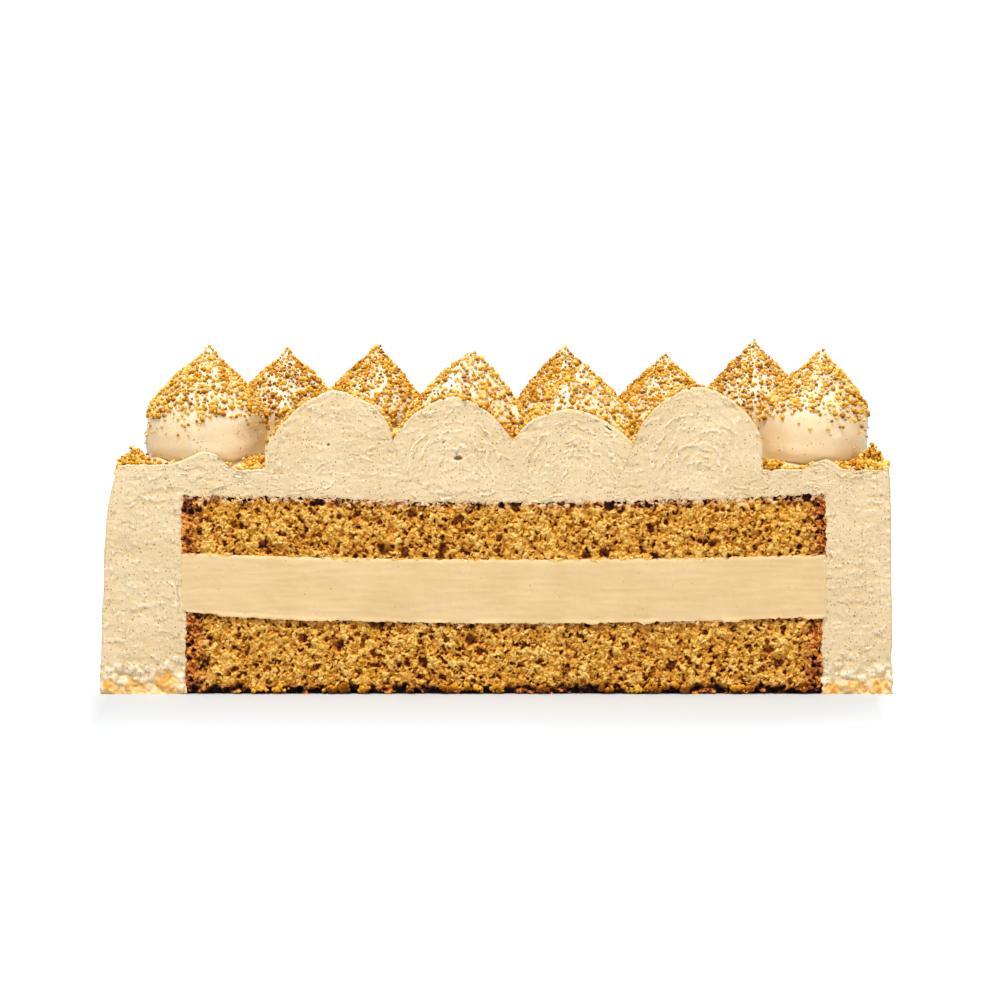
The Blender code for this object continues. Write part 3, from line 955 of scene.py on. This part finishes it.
for vertex in bm.verts:
    depth_behind = vertex.co.y - CUT_Y
    distance = math.hypot(vertex.co.x, depth_behind)
    angle = math.atan2(max(0.0, depth_behind), vertex.co.x)
    height = vertex.co.z
    if distance > OUTER_RADIUS - 1.4:
        beside_cut = smooth(16, 4, depth_behind)
        swell = edge_swell(height, math.copysign(1, vertex.co.x))
        radius = wall_radius(angle, height) + swell * beside_cut - streaks(angle, height) * (1 - beside_cut)
        vertex.co.x *= radius / OUTER_RADIUS
        vertex.co.y = CUT_Y + depth_behind * radius / OUTER_RADIUS
    elif height > LEDGE - 1:
        rim = wall_radius(angle, LEDGE) / OUTER_RADIUS
        vertex.co.x *= rim
        vertex.co.y = CUT_Y + depth_behind * rim
        under_dollops = smooth(2, 8, depth_behind) * smooth(98, 92, distance)
        raised = 0.6 * smooth(91, 97, distance) + (1.9 + 0.9 * smooth(-40, -65, vertex.co.x)) * under_dollops
        vertex.co.z += raised + 0.5 * bumps(vertex.co.x / 9, vertex.co.y / 9, 0, 34)
        vertex.co.z += 0.15 * bumps(vertex.co.x / 2.2, vertex.co.y / 2.2, 0, 35)
    vertex.co.y = max(vertex.co.y, CUT_Y + BODY_BEHIND)
bmesh.ops.holes_fill(bm, edges=[edge for edge in bm.edges if edge.is_boundary], sides=0)
bmesh.ops.recalc_face_normals(bm, faces=bm.faces)
sharpen(edge for edge in bm.edges if edge.calc_face_angle(0.0) > SHARPEST)
coat_body = finish_piece("cream_body", bm, wall_cream, ("cream_coat",))

# %% [markdown]
# ## Piped dollops
#
# A dollop is squeezed from a round nozzle that is then lifted away: a soft drum with a cone on it, ending
# in a tip that leans. It is round, so a profile spun a full turn makes it. The frame tells each dollop's
# place, width and height. The drum is uneven, because cream settles and each squeeze differs.

# %% Profile of a dollop


def dollop_share(t):
    """Radius as a share of the greatest, at a share t of the height."""
    tuck = 1 - 0.24 * max(0.0, 1 - t / 0.18) ** 3
    cone = 1.84 * (1 - t) ** 0.95 * (1 - 0.36 * smooth(0.78, 0.95, t))
    return tuck * (1 + cone**-13) ** (-1 / 13) if t < 1 else 0.0


PROFILE_STEPS = 40
DOLLOP_SEGMENTS = 56


def spin_dollop(bm, radius, height):
    """A dollop on the origin, from a spun profile. Returns its vertices."""
    before = set(bm.verts)
    profile = [bm.verts.new((0, 0, 0))]
    for step in range(PROFILE_STEPS + 1):
        t = (step / PROFILE_STEPS) ** 1.1
        profile.append(bm.verts.new((radius * dollop_share(t), 0, height * t)))
    edges = [bm.edges.new(pair) for pair in zip(profile, profile[1:])]
    bmesh.ops.spin(
        bm,
        geom=[*profile, *edges],
        cent=(0, 0, 0),
        axis=(0, 0, 1),
        angle=2 * math.pi,
        steps=DOLLOP_SEGMENTS,
        use_merge=True,
    )
    made = [vertex for vertex in bm.verts if vertex not in before]
    bmesh.ops.remove_doubles(bm, verts=made, dist=0.001)
    return [vertex for vertex in bm.verts if vertex not in before]


def settle(vertices, place, height, lean, seed):
    """Moves a dollop to its place, leans its tip and makes it uneven."""
    for vertex in vertices:
        t = vertex.co.z / height
        direction = Vector((vertex.co.x, vertex.co.y, 0))
        if direction.length > 0.01:
            direction.normalize()
        swell = 0.05 * bumps(direction.x * 0.9, direction.y * 0.9, 1.6 * t, seed)
        swell += 0.03 * bumps(direction.x * 2.4, direction.y * 2.4, 5.0 * t, seed + 5)
        swell += 0.014 * lip(bumps(direction.x * 3, direction.y * 3, 9 * t, seed + 9), 0.25)
        vertex.co.x *= 1.01 + swell
        vertex.co.y *= 1.01 + swell
        sway = t**2
        vertex.co += Vector((place[0] + lean[0] * sway, place[1] + lean[1] * sway, place[2]))


# %% Twelve whole dollops


def measure(node):
    """A dollop's foot, radius, height and lean, read from its solid in the frame."""
    points = np.array([vertex.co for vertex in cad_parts[node].data.vertices]) / MM
    low = points[:, 2].min()
    foot = points[points[:, 2] < low + 0.05].mean(axis=0)
    drum = points[points[:, 2] < low + 10]
    radius = np.hypot(drum[:, 0] - foot[0], drum[:, 1] - foot[1]).max()
    tip = points[points[:, 2].argmax()]
    return foot, radius, tip[2] - low, tip[:2] - foot[:2]


dollops = []
for number in range(1, 13):
    node = f"dollop_{number:02d}"
    foot, radius, height, lean = measure(node)
    bm = bmesh.new()
    settle(spin_dollop(bm, radius, height + 0.8), (*foot[:2], foot[2] + 0.1), height, lean, 3.7 * number)
    bmesh.ops.recalc_face_normals(bm, faces=bm.faces)
    dollops.append(finish_piece(f"piped_{number:02d}", bm, piped_cream, (node,)))

# %% [markdown]
# ## Mounds behind the cut
#
# The four dollops at the cut lost their fronts to the knife. What is left of them behind the cut face is a
# low dome, and the two in the middle kept their tips. The domes and tips are spun like the others. A voxel
# remesh then melts them into one lump, which leaves a soft crease where they meet, and bisect_plane trims
# it behind the cut sheet. From there the cream has to rise from the cut's outline, so what stands higher is
# pressed down to a slope.

# %% Lump of domes and tips
TIPS = ((-8.6, 10.5, 15.2, 31.2, 3.0, -0.5), (20.9, 10.5, 14.8, 27.2, 1.6, -0.5))
DOME_DEPTH = 12.5
CUT_SLOPE = 1.5
TRIM = 2.0

bm = bmesh.new()
for left, peak, right, height, *_ in MOUNDS:
    dome = spin_dollop(bm, 1.0, 1.0)
    for vertex in dome:
        t = vertex.co.z
        rounded = (1 - max(0.0, (t * height - MOUND_FOOT) / (height - MOUND_FOOT)) ** 1.8) ** 0.62
        scale = rounded / max(dollop_share(t), 0.02)
        side = (peak - left if vertex.co.x < 0 else right - peak) - 0.5
        vertex.co.x = peak + vertex.co.x * scale * side
        vertex.co.y = CUT_Y + vertex.co.y * scale * DOME_DEPTH
        vertex.co.z = LEDGE - 3 + (height + 3.2) * t
for number, (x, depth, radius, height, lean_x, lean_y) in enumerate(TIPS):
    place = (x, CUT_Y + depth, LEDGE - 3)
    settle(spin_dollop(bm, radius, height + 3), place, height + 3, (lean_x, lean_y), 61 + number)
bmesh.ops.recalc_face_normals(bm, faces=bm.faces)
bmesh.ops.scale(bm, vec=(MM, MM, MM), verts=bm.verts)
lump_mesh = bpy.data.meshes.new("lump")
bm.to_mesh(lump_mesh)
bm.free()
lump = bpy.data.objects.new("lump", lump_mesh)
scene.collection.objects.link(lump)
remesh = lump.modifiers.new("melt", "REMESH")
remesh.mode = "VOXEL"
remesh.voxel_size = 0.75 * MM
soften = lump.modifiers.new("soften", "SMOOTH")
soften.iterations = 6
graph = bpy.context.evaluated_depsgraph_get()
melted = bpy.data.meshes.new_from_object(lump.evaluated_get(graph))
bpy.data.objects.remove(lump)

# %% Trim the mounds
bm = bmesh.new()
bm.from_mesh(melted)
bmesh.ops.scale(bm, vec=(1 / MM, 1 / MM, 1 / MM), verts=bm.verts)
bmesh.ops.bisect_plane(
    bm,
    geom=[*bm.verts, *bm.edges, *bm.faces],
    plane_co=(0, CUT_Y + TRIM, 0),
    plane_no=(0, -1, 0),
    clear_outer=True,
)
bmesh.ops.holes_fill(bm, edges=[edge for edge in bm.edges if edge.is_boundary], sides=0)
for vertex in bm.verts:
    slope = CUT_SLOPE * (vertex.co.y - CUT_Y - TRIM)
    vertex.co.z = min(vertex.co.z, cut_top(vertex.co.x) - 0.5 + slope)
bmesh.ops.recalc_face_normals(bm, faces=bm.faces)
mounds = finish_piece("cream_mounds", bm, piped_cream, ("cream_coat",))

# %% [markdown]
# ## Sponge discs
#
# Sponge is foam: round pores of several sizes, with thin torn walls between them. Three sizes of Voronoi
# cells make the pores: close to a cell's middle the crumb is missing. Their lookup is bent with noise, so
# that no pore is round. The face is again a grid, with cells of about a fifth of a millimetre, and the
# round back is extruded from its rim.

# %% Crumb of the sponge
GRAINS = ((1.4, 0.45), (0.7, 0.5))  # spacing of the flakes, and how much they differ in height
PORES = (  # spacing, share of them that is open, size as a share of the spacing, depth
    (4.8, 0.30, 0.36, 1.3),
    (2.0, 0.50, 0.42, 1.3),
    (1.1, 0.48, 0.44, 1.1),
)
DEEPEST = 2.2
# Share of a pore's depth that its painted shade follows.
PORE_SHADE = 0.85


def nearest_cell(x, z, spacing, seed):
    """Distances to the nearest Voronoi cells, and a number from 0 to 1 that the nearest has to itself."""
    distances, points = noise.voronoi(Vector((x / spacing, seed + spacing, z / spacing)))
    return distances, (points[0].x * 37.7 + points[0].z * 17.3) % 1


def crumb_depth(x, z, seed):
    """How far the torn crumb lies behind the knife's plane, in mm, and its painted light from 0 to 1: pale on
    raised flakes, dark in pores and crevices.
    """
    bent_x, bent_z = bent(x, z, (seed, seed + 3), (0.7, 1.1), (0.35, 0.42))
    depth = 0.02 + 0.3 * bumps(x / 4, seed, z / 3, 2) + 0.15 * bumps(x / 0.4, seed, z / 0.4, 3)
    for spacing, differ in GRAINS:
        distances, dice = nearest_cell(bent_x, bent_z, spacing, seed)
        crevice = smooth(0.26, 0.0, distances[1] - distances[0])
        depth += differ * (1.1 * dice**2 + 0.6 * crevice)
    missing = 0.0
    for spacing, share, size, deep in PORES:
        distances, dice = nearest_cell(bent_x, bent_z, spacing, seed)
        if dice < share:
            missing += deep * smooth(size, 0.5 * size, distances[0])
    # The depth that the painted shade follows: pores count for less here than in the real depth.
    brown = depth + PORE_SHADE * missing
    return min(DEEPEST, max(0.0, depth + missing)), 1 - min(DEEPEST, max(0.0, brown)) / DEEPEST


# %% Sponge disc
CRUMB_CELL = 0.185


def foot_gap(x, z):
    """The foot of the lower disc crumbled away in places."""
    low = smooth(2.9, 1.2, z + 1.3 * bumps(x / 2.2, 48, 0))
    return 2.0 * low * smooth(-0.4, 0.1, bumps(x / 2.6, 49, z / 1.5))


def sponge_disc(name, node, low, high, radius, edges, seed):
    """A half disc with torn crumb at the cut. Low and high give its heights, edges its toast and smear."""
    columns = round(2 * radius / CRUMB_CELL)
    rows = round((high(STACK_X) - low(STACK_X)) / CRUMB_CELL)
    bm = bmesh.new()
    layers = bm.verts.layers.float
    painted_light_layer, toast_layer, smear_layer, flake_layer = (
        layers.new(name) for name in ("height", "toast", "smear", "flake")
    )
    bmesh.ops.create_grid(bm, x_segments=columns, y_segments=rows, size=1)
    for vertex in bm.verts:
        x = STACK_X + radius * vertex.co.x
        share = (vertex.co.y + 1) / 2
        z = low(x) + (high(x) - low(x)) * share
        depth, painted_light = crumb_depth(x, z, seed)
        edge = max(smooth(0.9, 0.0, z - low(x)), smooth(0.9, 0.0, high(x) - z)) if z > 3 else 0.0
        depth = depth * (1 - 0.5 * edge) + foot_gap(x, z)
        z += edge * (0.7 * bumps(x / 1.1, seed, share, 4) + 0.5 * bumps(x / 0.5, seed, share, 5))
        # The gaps at the foot are painted darker too: painted shade in them.
        vertex[painted_light_layer] = painted_light - 0.2 * foot_gap(x, z)
        vertex[flake_layer] = smooth(0.1, 0.6, bumps(x / 1.6, seed, z / 1.6, 6))
        vertex[toast_layer], vertex[smear_layer] = edges(x, z, share)
        shift = 0.12 * bumps(x / 0.4, seed, z / 0.4, 8)
        vertex.co = (x + shift, CUT_Y + 0.25 + depth, z)
    close_behind(bm, SHEET_BACK, radius)
    return finish_piece(name, bm, sponge_crumb, (node,))


def end_toast(x, z, radius, seed):
    """Crust at a disc's two ends."""
    return smooth(7.0, 1.5, radius - abs(x - STACK_X) + 1.2 * bumps(x / 2, 0, z / 2, seed))


def top_edges(x, z, share):
    """Toast and smear of the upper disc: brown at its top and ends, and cream dragged over its top edge."""
    top = smooth(0.78, 1.0, share + 0.1 * bumps(x / 3, 0, z / 2, 42))
    toast = max(top, end_toast(x, z, STACK_RADIUS, 41))
    smear = smooth(0.88, 0.97, share + 0.12 * bumps(x / 2.1, 0, z / 1.2, 43))
    return toast, smear


def bottom_edges(x, z, share):
    """The lower disc is brown at its top, at its ends and, darkest, at its foot."""
    top = 0.6 * smooth(0.82, 1.0, share + 0.1 * bumps(x / 3, 0, z / 2, 45))
    foot = smooth(0.17, 0.05, share + 0.07 * bumps(x / 2, 0, z / 2, 46))
    smear = smooth(0.93, 1.0, share + 0.1 * bumps(x / 2.1, 0, z / 1.2, 43))
    return max(top, foot, end_toast(x, z, STACK_RADIUS - 1.3, 44)), smear


sponge_disc(
    "sponge_upper",
    "sponge_top",
    lambda x: sagged(filling_high.z, FILLING_EDGE, x) - 0.45,
    lambda x: top_edge(x) + 0.2,
    STACK_RADIUS,
    top_edges,
    51,
)
sponge_disc(
    "sponge_lower",
    "sponge_bottom",
    lambda x: 0.0,
    lambda x: sagged(bottom_high.z, BOTTOM_EDGE, x) + 0.9,
    BOTTOM_RADIUS,
    bottom_edges,
    52,
)

# %% [markdown]
# ## Filling
#
# The filling is a firm slab that the knife cut cleanly. It shows only faint marks of the blade, a few pits
# and a thin lip of cream along its edges. The same kind of grid carries them.

# %% Filling
FILLING_CELL = 0.3
FILLING_ROWS = 48
filling_radius = STACK_X - filling_low.x + 0.8


def filling_depth(x, z, share):
    """Depth of the cut filling behind the knife's plane, in millimetres."""
    depth = 0.3 + 0.12 * bumps(x / 14, 61, z / 6)
    depth += 0.05 * lip(bumps(x / 9, 62, z / 1.1), 0.3) + 0.04 * lip(bumps(x / 3, 63, z / 2.4), 0.2)
    under_flakes = 0.3 * smooth(0.97, 0.99, share)
    burr = 0.25 * smooth(0.06, 0.0, share) * smooth(-0.3, 0.4, bumps(x / 6, 64, 0))
    return max(0.02, depth + under_flakes - burr - 0.4 * lower_lip(x) * smooth(0.07, 0.02, share))


def lower_lip(x):
    """Where the filling's lower edge is smeared over the sponge: at the left, and here and there."""
    return max(smooth(-73, -68, x) * smooth(-38, -46, x), smooth(0.15, 0.4, bumps(x / 7, 67, 0)))


bm = bmesh.new()
columns = round(2 * filling_radius / FILLING_CELL)
bmesh.ops.create_grid(bm, x_segments=columns, y_segments=FILLING_ROWS, size=1)
for vertex in bm.verts:
    x = STACK_X + filling_radius * vertex.co.x
    share = (vertex.co.y + 1) / 2
    low = sagged(bottom_high.z, BOTTOM_EDGE, x) + 0.3 * bumps(x / 2.6, 65, 0) + 0.35 * bumps(x / 0.9, 65, 0)
    low += 0.25 - 0.45 * lower_lip(x)
    high = sagged(filling_high.z, FILLING_EDGE, x) + 0.1
    high += 0.35 * bumps(x / 2.2, 66, 0) + 0.3 * bumps(x / 0.8, 66, 0)
    z = low + (high - low) * share
    vertex.co = (x, CUT_Y + filling_depth(x, z, share), z)
close_behind(bm, SHEET_BACK, filling_radius)
finish_piece("filling_cut", bm, firm_filling, ("filling_cream",))

# %% [markdown]
# ## Shapes of a crumb
#
# Thousands of crumbs need a light mesh. A cube whose edges are cut once and whose corners are drawn in is a
# ball of 24 faces, and noise makes it a nugget. Eight such nuggets, turned and sized at random, look like a
# different one each time.

# %% Crumb shapes
SHAPES = 8


def nugget(seed):
    """Vertices and faces of one crumb, about one unit across."""
    bm = bmesh.new()
    bmesh.ops.create_cube(bm, size=1)
    bmesh.ops.subdivide_edges(bm, edges=bm.edges, cuts=1, use_grid_fill=True)
    for vertex in bm.verts:
        direction = vertex.co.normalized()
        lumps = 0.32 * bumps(*(1.7 * direction), seed) + 0.12 * bumps(*(5 * direction), seed)
        vertex.co = direction.lerp(vertex.co, 0.5) * (0.55 + lumps)
    vertices = np.array([vertex.co for vertex in bm.verts])
    bm.verts.index_update()
    faces = np.array([[vertex.index for vertex in face.verts] for face in bm.faces])
    bm.free()
    return vertices, faces


nuggets = [nugget(71.3 + 4.1 * shape) for shape in range(SHAPES)]
print(f"{SHAPES} shapes of {len(nuggets[0][1])} faces")

# %% Joining crumbs to one piece
# How much a crumb's shade falls towards its underside and rises towards its top: painted shade below, painted
# light above.
UNDERSIDE_SHADE_AND_TOP_LIGHT = 0.8


def join_crumbs(name, places, sizes, shades, seed, stretches=(0.7, 1.1)):
    """One mesh of crumbs at places in millimetres. Each is turned and stretched at random."""
    rng = np.random.default_rng(seed)
    count = len(places)
    kinds = rng.integers(0, SHAPES, count)
    turns = [Quaternion(four).normalized().to_matrix() for four in rng.normal(size=(count, 4))]
    stretch = rng.uniform(*stretches, (count, 3))
    vertices, faces, vertex_shades = [], [], []
    per_crumb = len(nuggets[0][0])
    for index in range(count):
        shape, shape_faces = nuggets[kinds[index]]
        turned = (shape * stretch[index]) @ np.array(turns[index]).T
        vertices.append(turned * sizes[index] + places[index])
        faces.append(shape_faces + index * per_crumb)
        # Painted shade on each crumb's underside and painted light on its top.
        vertex_shades.append(shades[index] + UNDERSIDE_SHADE_AND_TOP_LIGHT * turned[:, 2])
    mesh = bpy.data.meshes.new(name)
    mesh.from_pydata(np.concatenate(vertices) * MM, [], np.concatenate(faces))
    attribute = mesh.attributes.new("shade", "FLOAT", "POINT")
    attribute.data.foreach_set("value", np.concatenate(vertex_shades).astype(np.float32))
    return finish_mesh(name, mesh, biscuit, smooth_faces=False)


# %% [markdown]
# ## Sprinkling the crumbs
#
# Crumbs fall from above. They stick where the cream faces up, slide off steep flanks, and gather in the
# valleys between dollops. Rays find where each one lands. Half of them come straight down, and half at a
# slant, as crumbs thrown by hand do. Noise thins them in patches, and a coarse grid keeps two crumbs from
# landing in the same spot.

# %% What the crumbs fall on
ABOVE_ALL = 200

surfaces = [mounds, cut_sheet, coat_body, *dollops]
all_points, all_faces = [], []
for surface in surfaces:
    offset = len(all_points)
    all_points.extend(vertex.co / MM for vertex in surface.data.vertices)
    all_faces.extend([offset + index for index in polygon.vertices] for polygon in surface.data.polygons)
landscape = BVHTree.FromPolygons(all_points, all_faces)
print(f"landscape of {len(all_faces)} faces")


def fall(x, y):
    """Where a crumb that falls straight down lands, and the surface's normal there."""
    return landscape.ray_cast(Vector((x, y, ABOVE_ALL)), Vector((0, 0, -1)))[:2]


# %% Sprinkle
DRAWS = 70000
SPACING = 0.74
STEEPEST = math.radians(62)
RAY_START = 150
AIMED_HEIGHT = 26  # the rays aim at places up to this height above the ledge
TIP_HEIGHT = 28  # height of the tallest tips above the ledge
FRONT_ROW = 24  # depth behind the cut that the front row of whole dollops takes up
rng = np.random.default_rng(5)
taken = {}


def free(place, spacing):
    """True, and the spot is taken, if no crumb lies closer than the spacing."""
    cell = tuple(int(c // spacing) for c in place)
    for shift in itertools.product((-1, 0, 1), repeat=3):
        for other in taken.get(tuple(c + s for c, s in zip(cell, shift)), ()):
            if (other - place).length < spacing:
                return False
    taken.setdefault(cell, []).append(place)
    return True


places = []
for draw in range(DRAWS):
    angle, reach = math.pi * rng.random(), math.sqrt(rng.random())
    reach *= wall_radius(angle, LEDGE) - 1.2
    height = LEDGE + AIMED_HEIGHT * rng.random()
    target = Vector((reach * math.cos(angle), CUT_Y + 1.3 + reach * math.sin(angle), height))
    tilt, turn = STEEPEST * rng.random() * (draw % 2), 2 * math.pi * rng.random()
    back = Vector((math.sin(tilt) * math.cos(turn), math.sin(tilt) * math.sin(turn), math.cos(tilt)))
    dice = rng.random()
    hit, normal, _, _ = landscape.ray_cast(target + RAY_START * back, -back)
    if hit is None or normal.dot(back) < 0.12 or hit.y < CUT_Y + 1.0 or hit.z < LEDGE - 2:
        continue
    above = (hit.z - LEDGE) / TIP_HEIGHT
    patch = 0.4 * bumps(*(hit / 7), 81) + 1.2 * bumps(*(hit / 2), 82)
    bare_drum = abs(hit.x) > 58 and hit.y < CUT_Y + FRONT_ROW and above > 0.06
    chance = 0.87 + 0.9 * patch + 0.5 * smooth(0.75, 0.95, above)
    if bare_drum:
        bare_top = 0.39 + 0.17 * math.exp(-(((hit.x - 76) / 9) ** 2)) - 0.1 * smooth(84, 92, hit.x)
        edge = above + 0.12 * bumps(hit.x / 3, hit.y / 3, 0, 84)
        chance *= 0.05 + 0.95 * smooth(bare_top - 0.13, bare_top + 0.13, edge)
    if dice < chance and free(hit, SPACING):
        places.append(hit + 0.25 * normal)
print(f"{len(places)} crumbs landed")

# %% [markdown]
# ## Drifts of crumbs
#
# At the cut, crumbs lie in small drifts: on the shelf at both ends, in the corners beside the outer mounds,
# and in the notches between mounds. Each drift grows as a real heap does. Crumbs fall around its middle,
# and one that falls on others comes to rest on top of them.

# %% Drifts
# Middle x, depth behind the cut, half width, half depth, crumbs
DRIFTS = (
    (-92.2, 5.2, 3.2, 2.8, 380),
    (95.8, 5.2, 3.4, 3.0, 400),
    (87.5, 5.0, 4.0, 2.4, 50),
    (-61.5, 3.8, 2.6, 2.4, 60),
    (70.0, 3.8, 3.6, 2.4, 70),
    (-26.4, 4.0, 1.4, 4.0, 30),
    (4.5, 4.0, 1.6, 4.0, 30),
    (35.1, 4.0, 1.6, 4.0, 30),
)
HEAP_CELL = 0.9
CRUMB_RISE = 0.46
heap = {}


def roll_down(cell):
    """Where a crumb comes to rest: it rolls to the lowest neighbour while the step down is high."""
    while True:
        around = [(cell[0] + dx, cell[1] + dy) for dx in (-1, 0, 1) for dy in (-1, 0, 1)]
        lowest = min(around, key=lambda other: heap.get(other, 0))
        if heap.get(cell, 0) - heap.get(lowest, 0) < 3:
            return cell
        cell = lowest


sprinkled = len(places)
for x, depth, half_width, half_depth, count in DRIFTS:
    for _ in range(count):
        fallen = (rng.normal(x, half_width / 2), rng.normal(depth, half_depth / 2))
        cell = roll_down((round(fallen[0] / HEAP_CELL), round(fallen[1] / HEAP_CELL)))
        spot_x, spot_y = (HEAP_CELL * (index + rng.uniform(-0.4, 0.4)) for index in cell)
        hit, _ = fall(spot_x, CUT_Y + max(1.2, spot_y))
        if hit is None or not LEDGE - 2 < hit.z < cut_top(spot_x) + 4.5:
            continue
        places.append(hit + Vector((0, 0, 0.3 + CRUMB_RISE * heap.get(cell, 0))))
        heap[cell] = heap.get(cell, 0) + 1
drifted = len(places)
print(f"{drifted} crumbs with the drifts")

# %% Crumbs along the mounds
ALONG_OUTLINE = 340
for _ in range(ALONG_OUTLINE):
    x = rng.uniform(MOUNDS[0][0], MOUNDS[-1][2])
    behind = rng.uniform(0.8, 3.4)
    if 0.45 + 1.1 * bumps(x / 5, 0, 0, 83) > rng.random():
        hit, normal = fall(x, CUT_Y + behind)
        if hit is not None and free(hit, SPACING):
            places.append(hit + 0.3 * normal)
print(f"{len(places)} crumbs with those along the mounds")

# %% Sort the crumbs by size
places = np.array(places)
sizes = np.clip(rng.lognormal(math.log(1.05), 0.27, len(places)), 0.5, 1.8)
sizes *= np.interp(places[:, 2], (LEDGE + 24, LEDGE + TIP_HEIGHT), (1.0, 0.95))
sizes[sprinkled:drifted] *= 1.15
in_front = (abs(places[:, 0]) > 60) & (places[:, 1] < CUT_Y + FRONT_ROW)
on_bare_drum = in_front & (abs(places[:, 2] - LEDGE - 7) < 5)
sizes[on_bare_drum] *= 0.7
# Crumbs further behind the cut get a shade up to 0.12 lower: painted shade on the rear dollops.
shades = rng.uniform(0.1, 1.0, len(places)) - np.interp(places[:, 1], (CUT_Y + 15, CUT_Y + 32), (0.0, 0.12))
order = np.argsort(sizes)
kinds = ("crumbs_fine", "crumbs_small", "crumbs_medium", "crumbs_coarse")
for seed, (kind, chosen) in enumerate(zip(kinds, np.array_split(order, len(kinds))), 101):
    join_crumbs(kind, places[chosen], sizes[chosen], shades[chosen], seed)

# %% [markdown]
# ## Flakes at the foot
#
# The knife's last stroke crushed the foot of the lower sponge. Golden flakes of crumb hang together there
# in small clusters, with dark gaps between them. A cluster is a handful of nuggets, grown into each other.

# %% Flakes at the foot
CLUSTERS = 28
cluster_places, cluster_shades = [], []
for x in rng.uniform(bottom_low.x + 1.5, -bottom_low.x + 2 * STACK_X - 1.5, CLUSTERS):
    reach, shade = rng.uniform(0.4, 1.1), rng.uniform(-0.2, 0.6)
    for _ in range(rng.integers(6, 18)):
        shift = rng.normal(size=3) * reach * (1, 0.3, 0.6)
        height = max(0.55, 0.9 + 0.7 * reach + shift[2])
        cluster_places.append((x + shift[0], CUT_Y + max(0.35, 0.8 + shift[1]), height))
        cluster_shades.append(shade + rng.uniform(-0.1, 0.2))
cluster_places = np.array(cluster_places)
cluster_sizes = np.minimum(rng.uniform(0.9, 1.9, len(cluster_places)), 1.2 * cluster_places[:, 2])
join_crumbs("foot_flakes", cluster_places, cluster_sizes, np.array(cluster_shades), 97, (0.3, 1.5))

# %% Turn the coat's faces outwards
# The spun body came out with its faces turned inwards, and the sprinkling counts on that: a ray's hit on the
# body is skipped as a face from behind, so its flat top stays bare. Now the faces can be turned.
coat_body.data.flip_normals()
print("faces of the coat's body turned outwards")
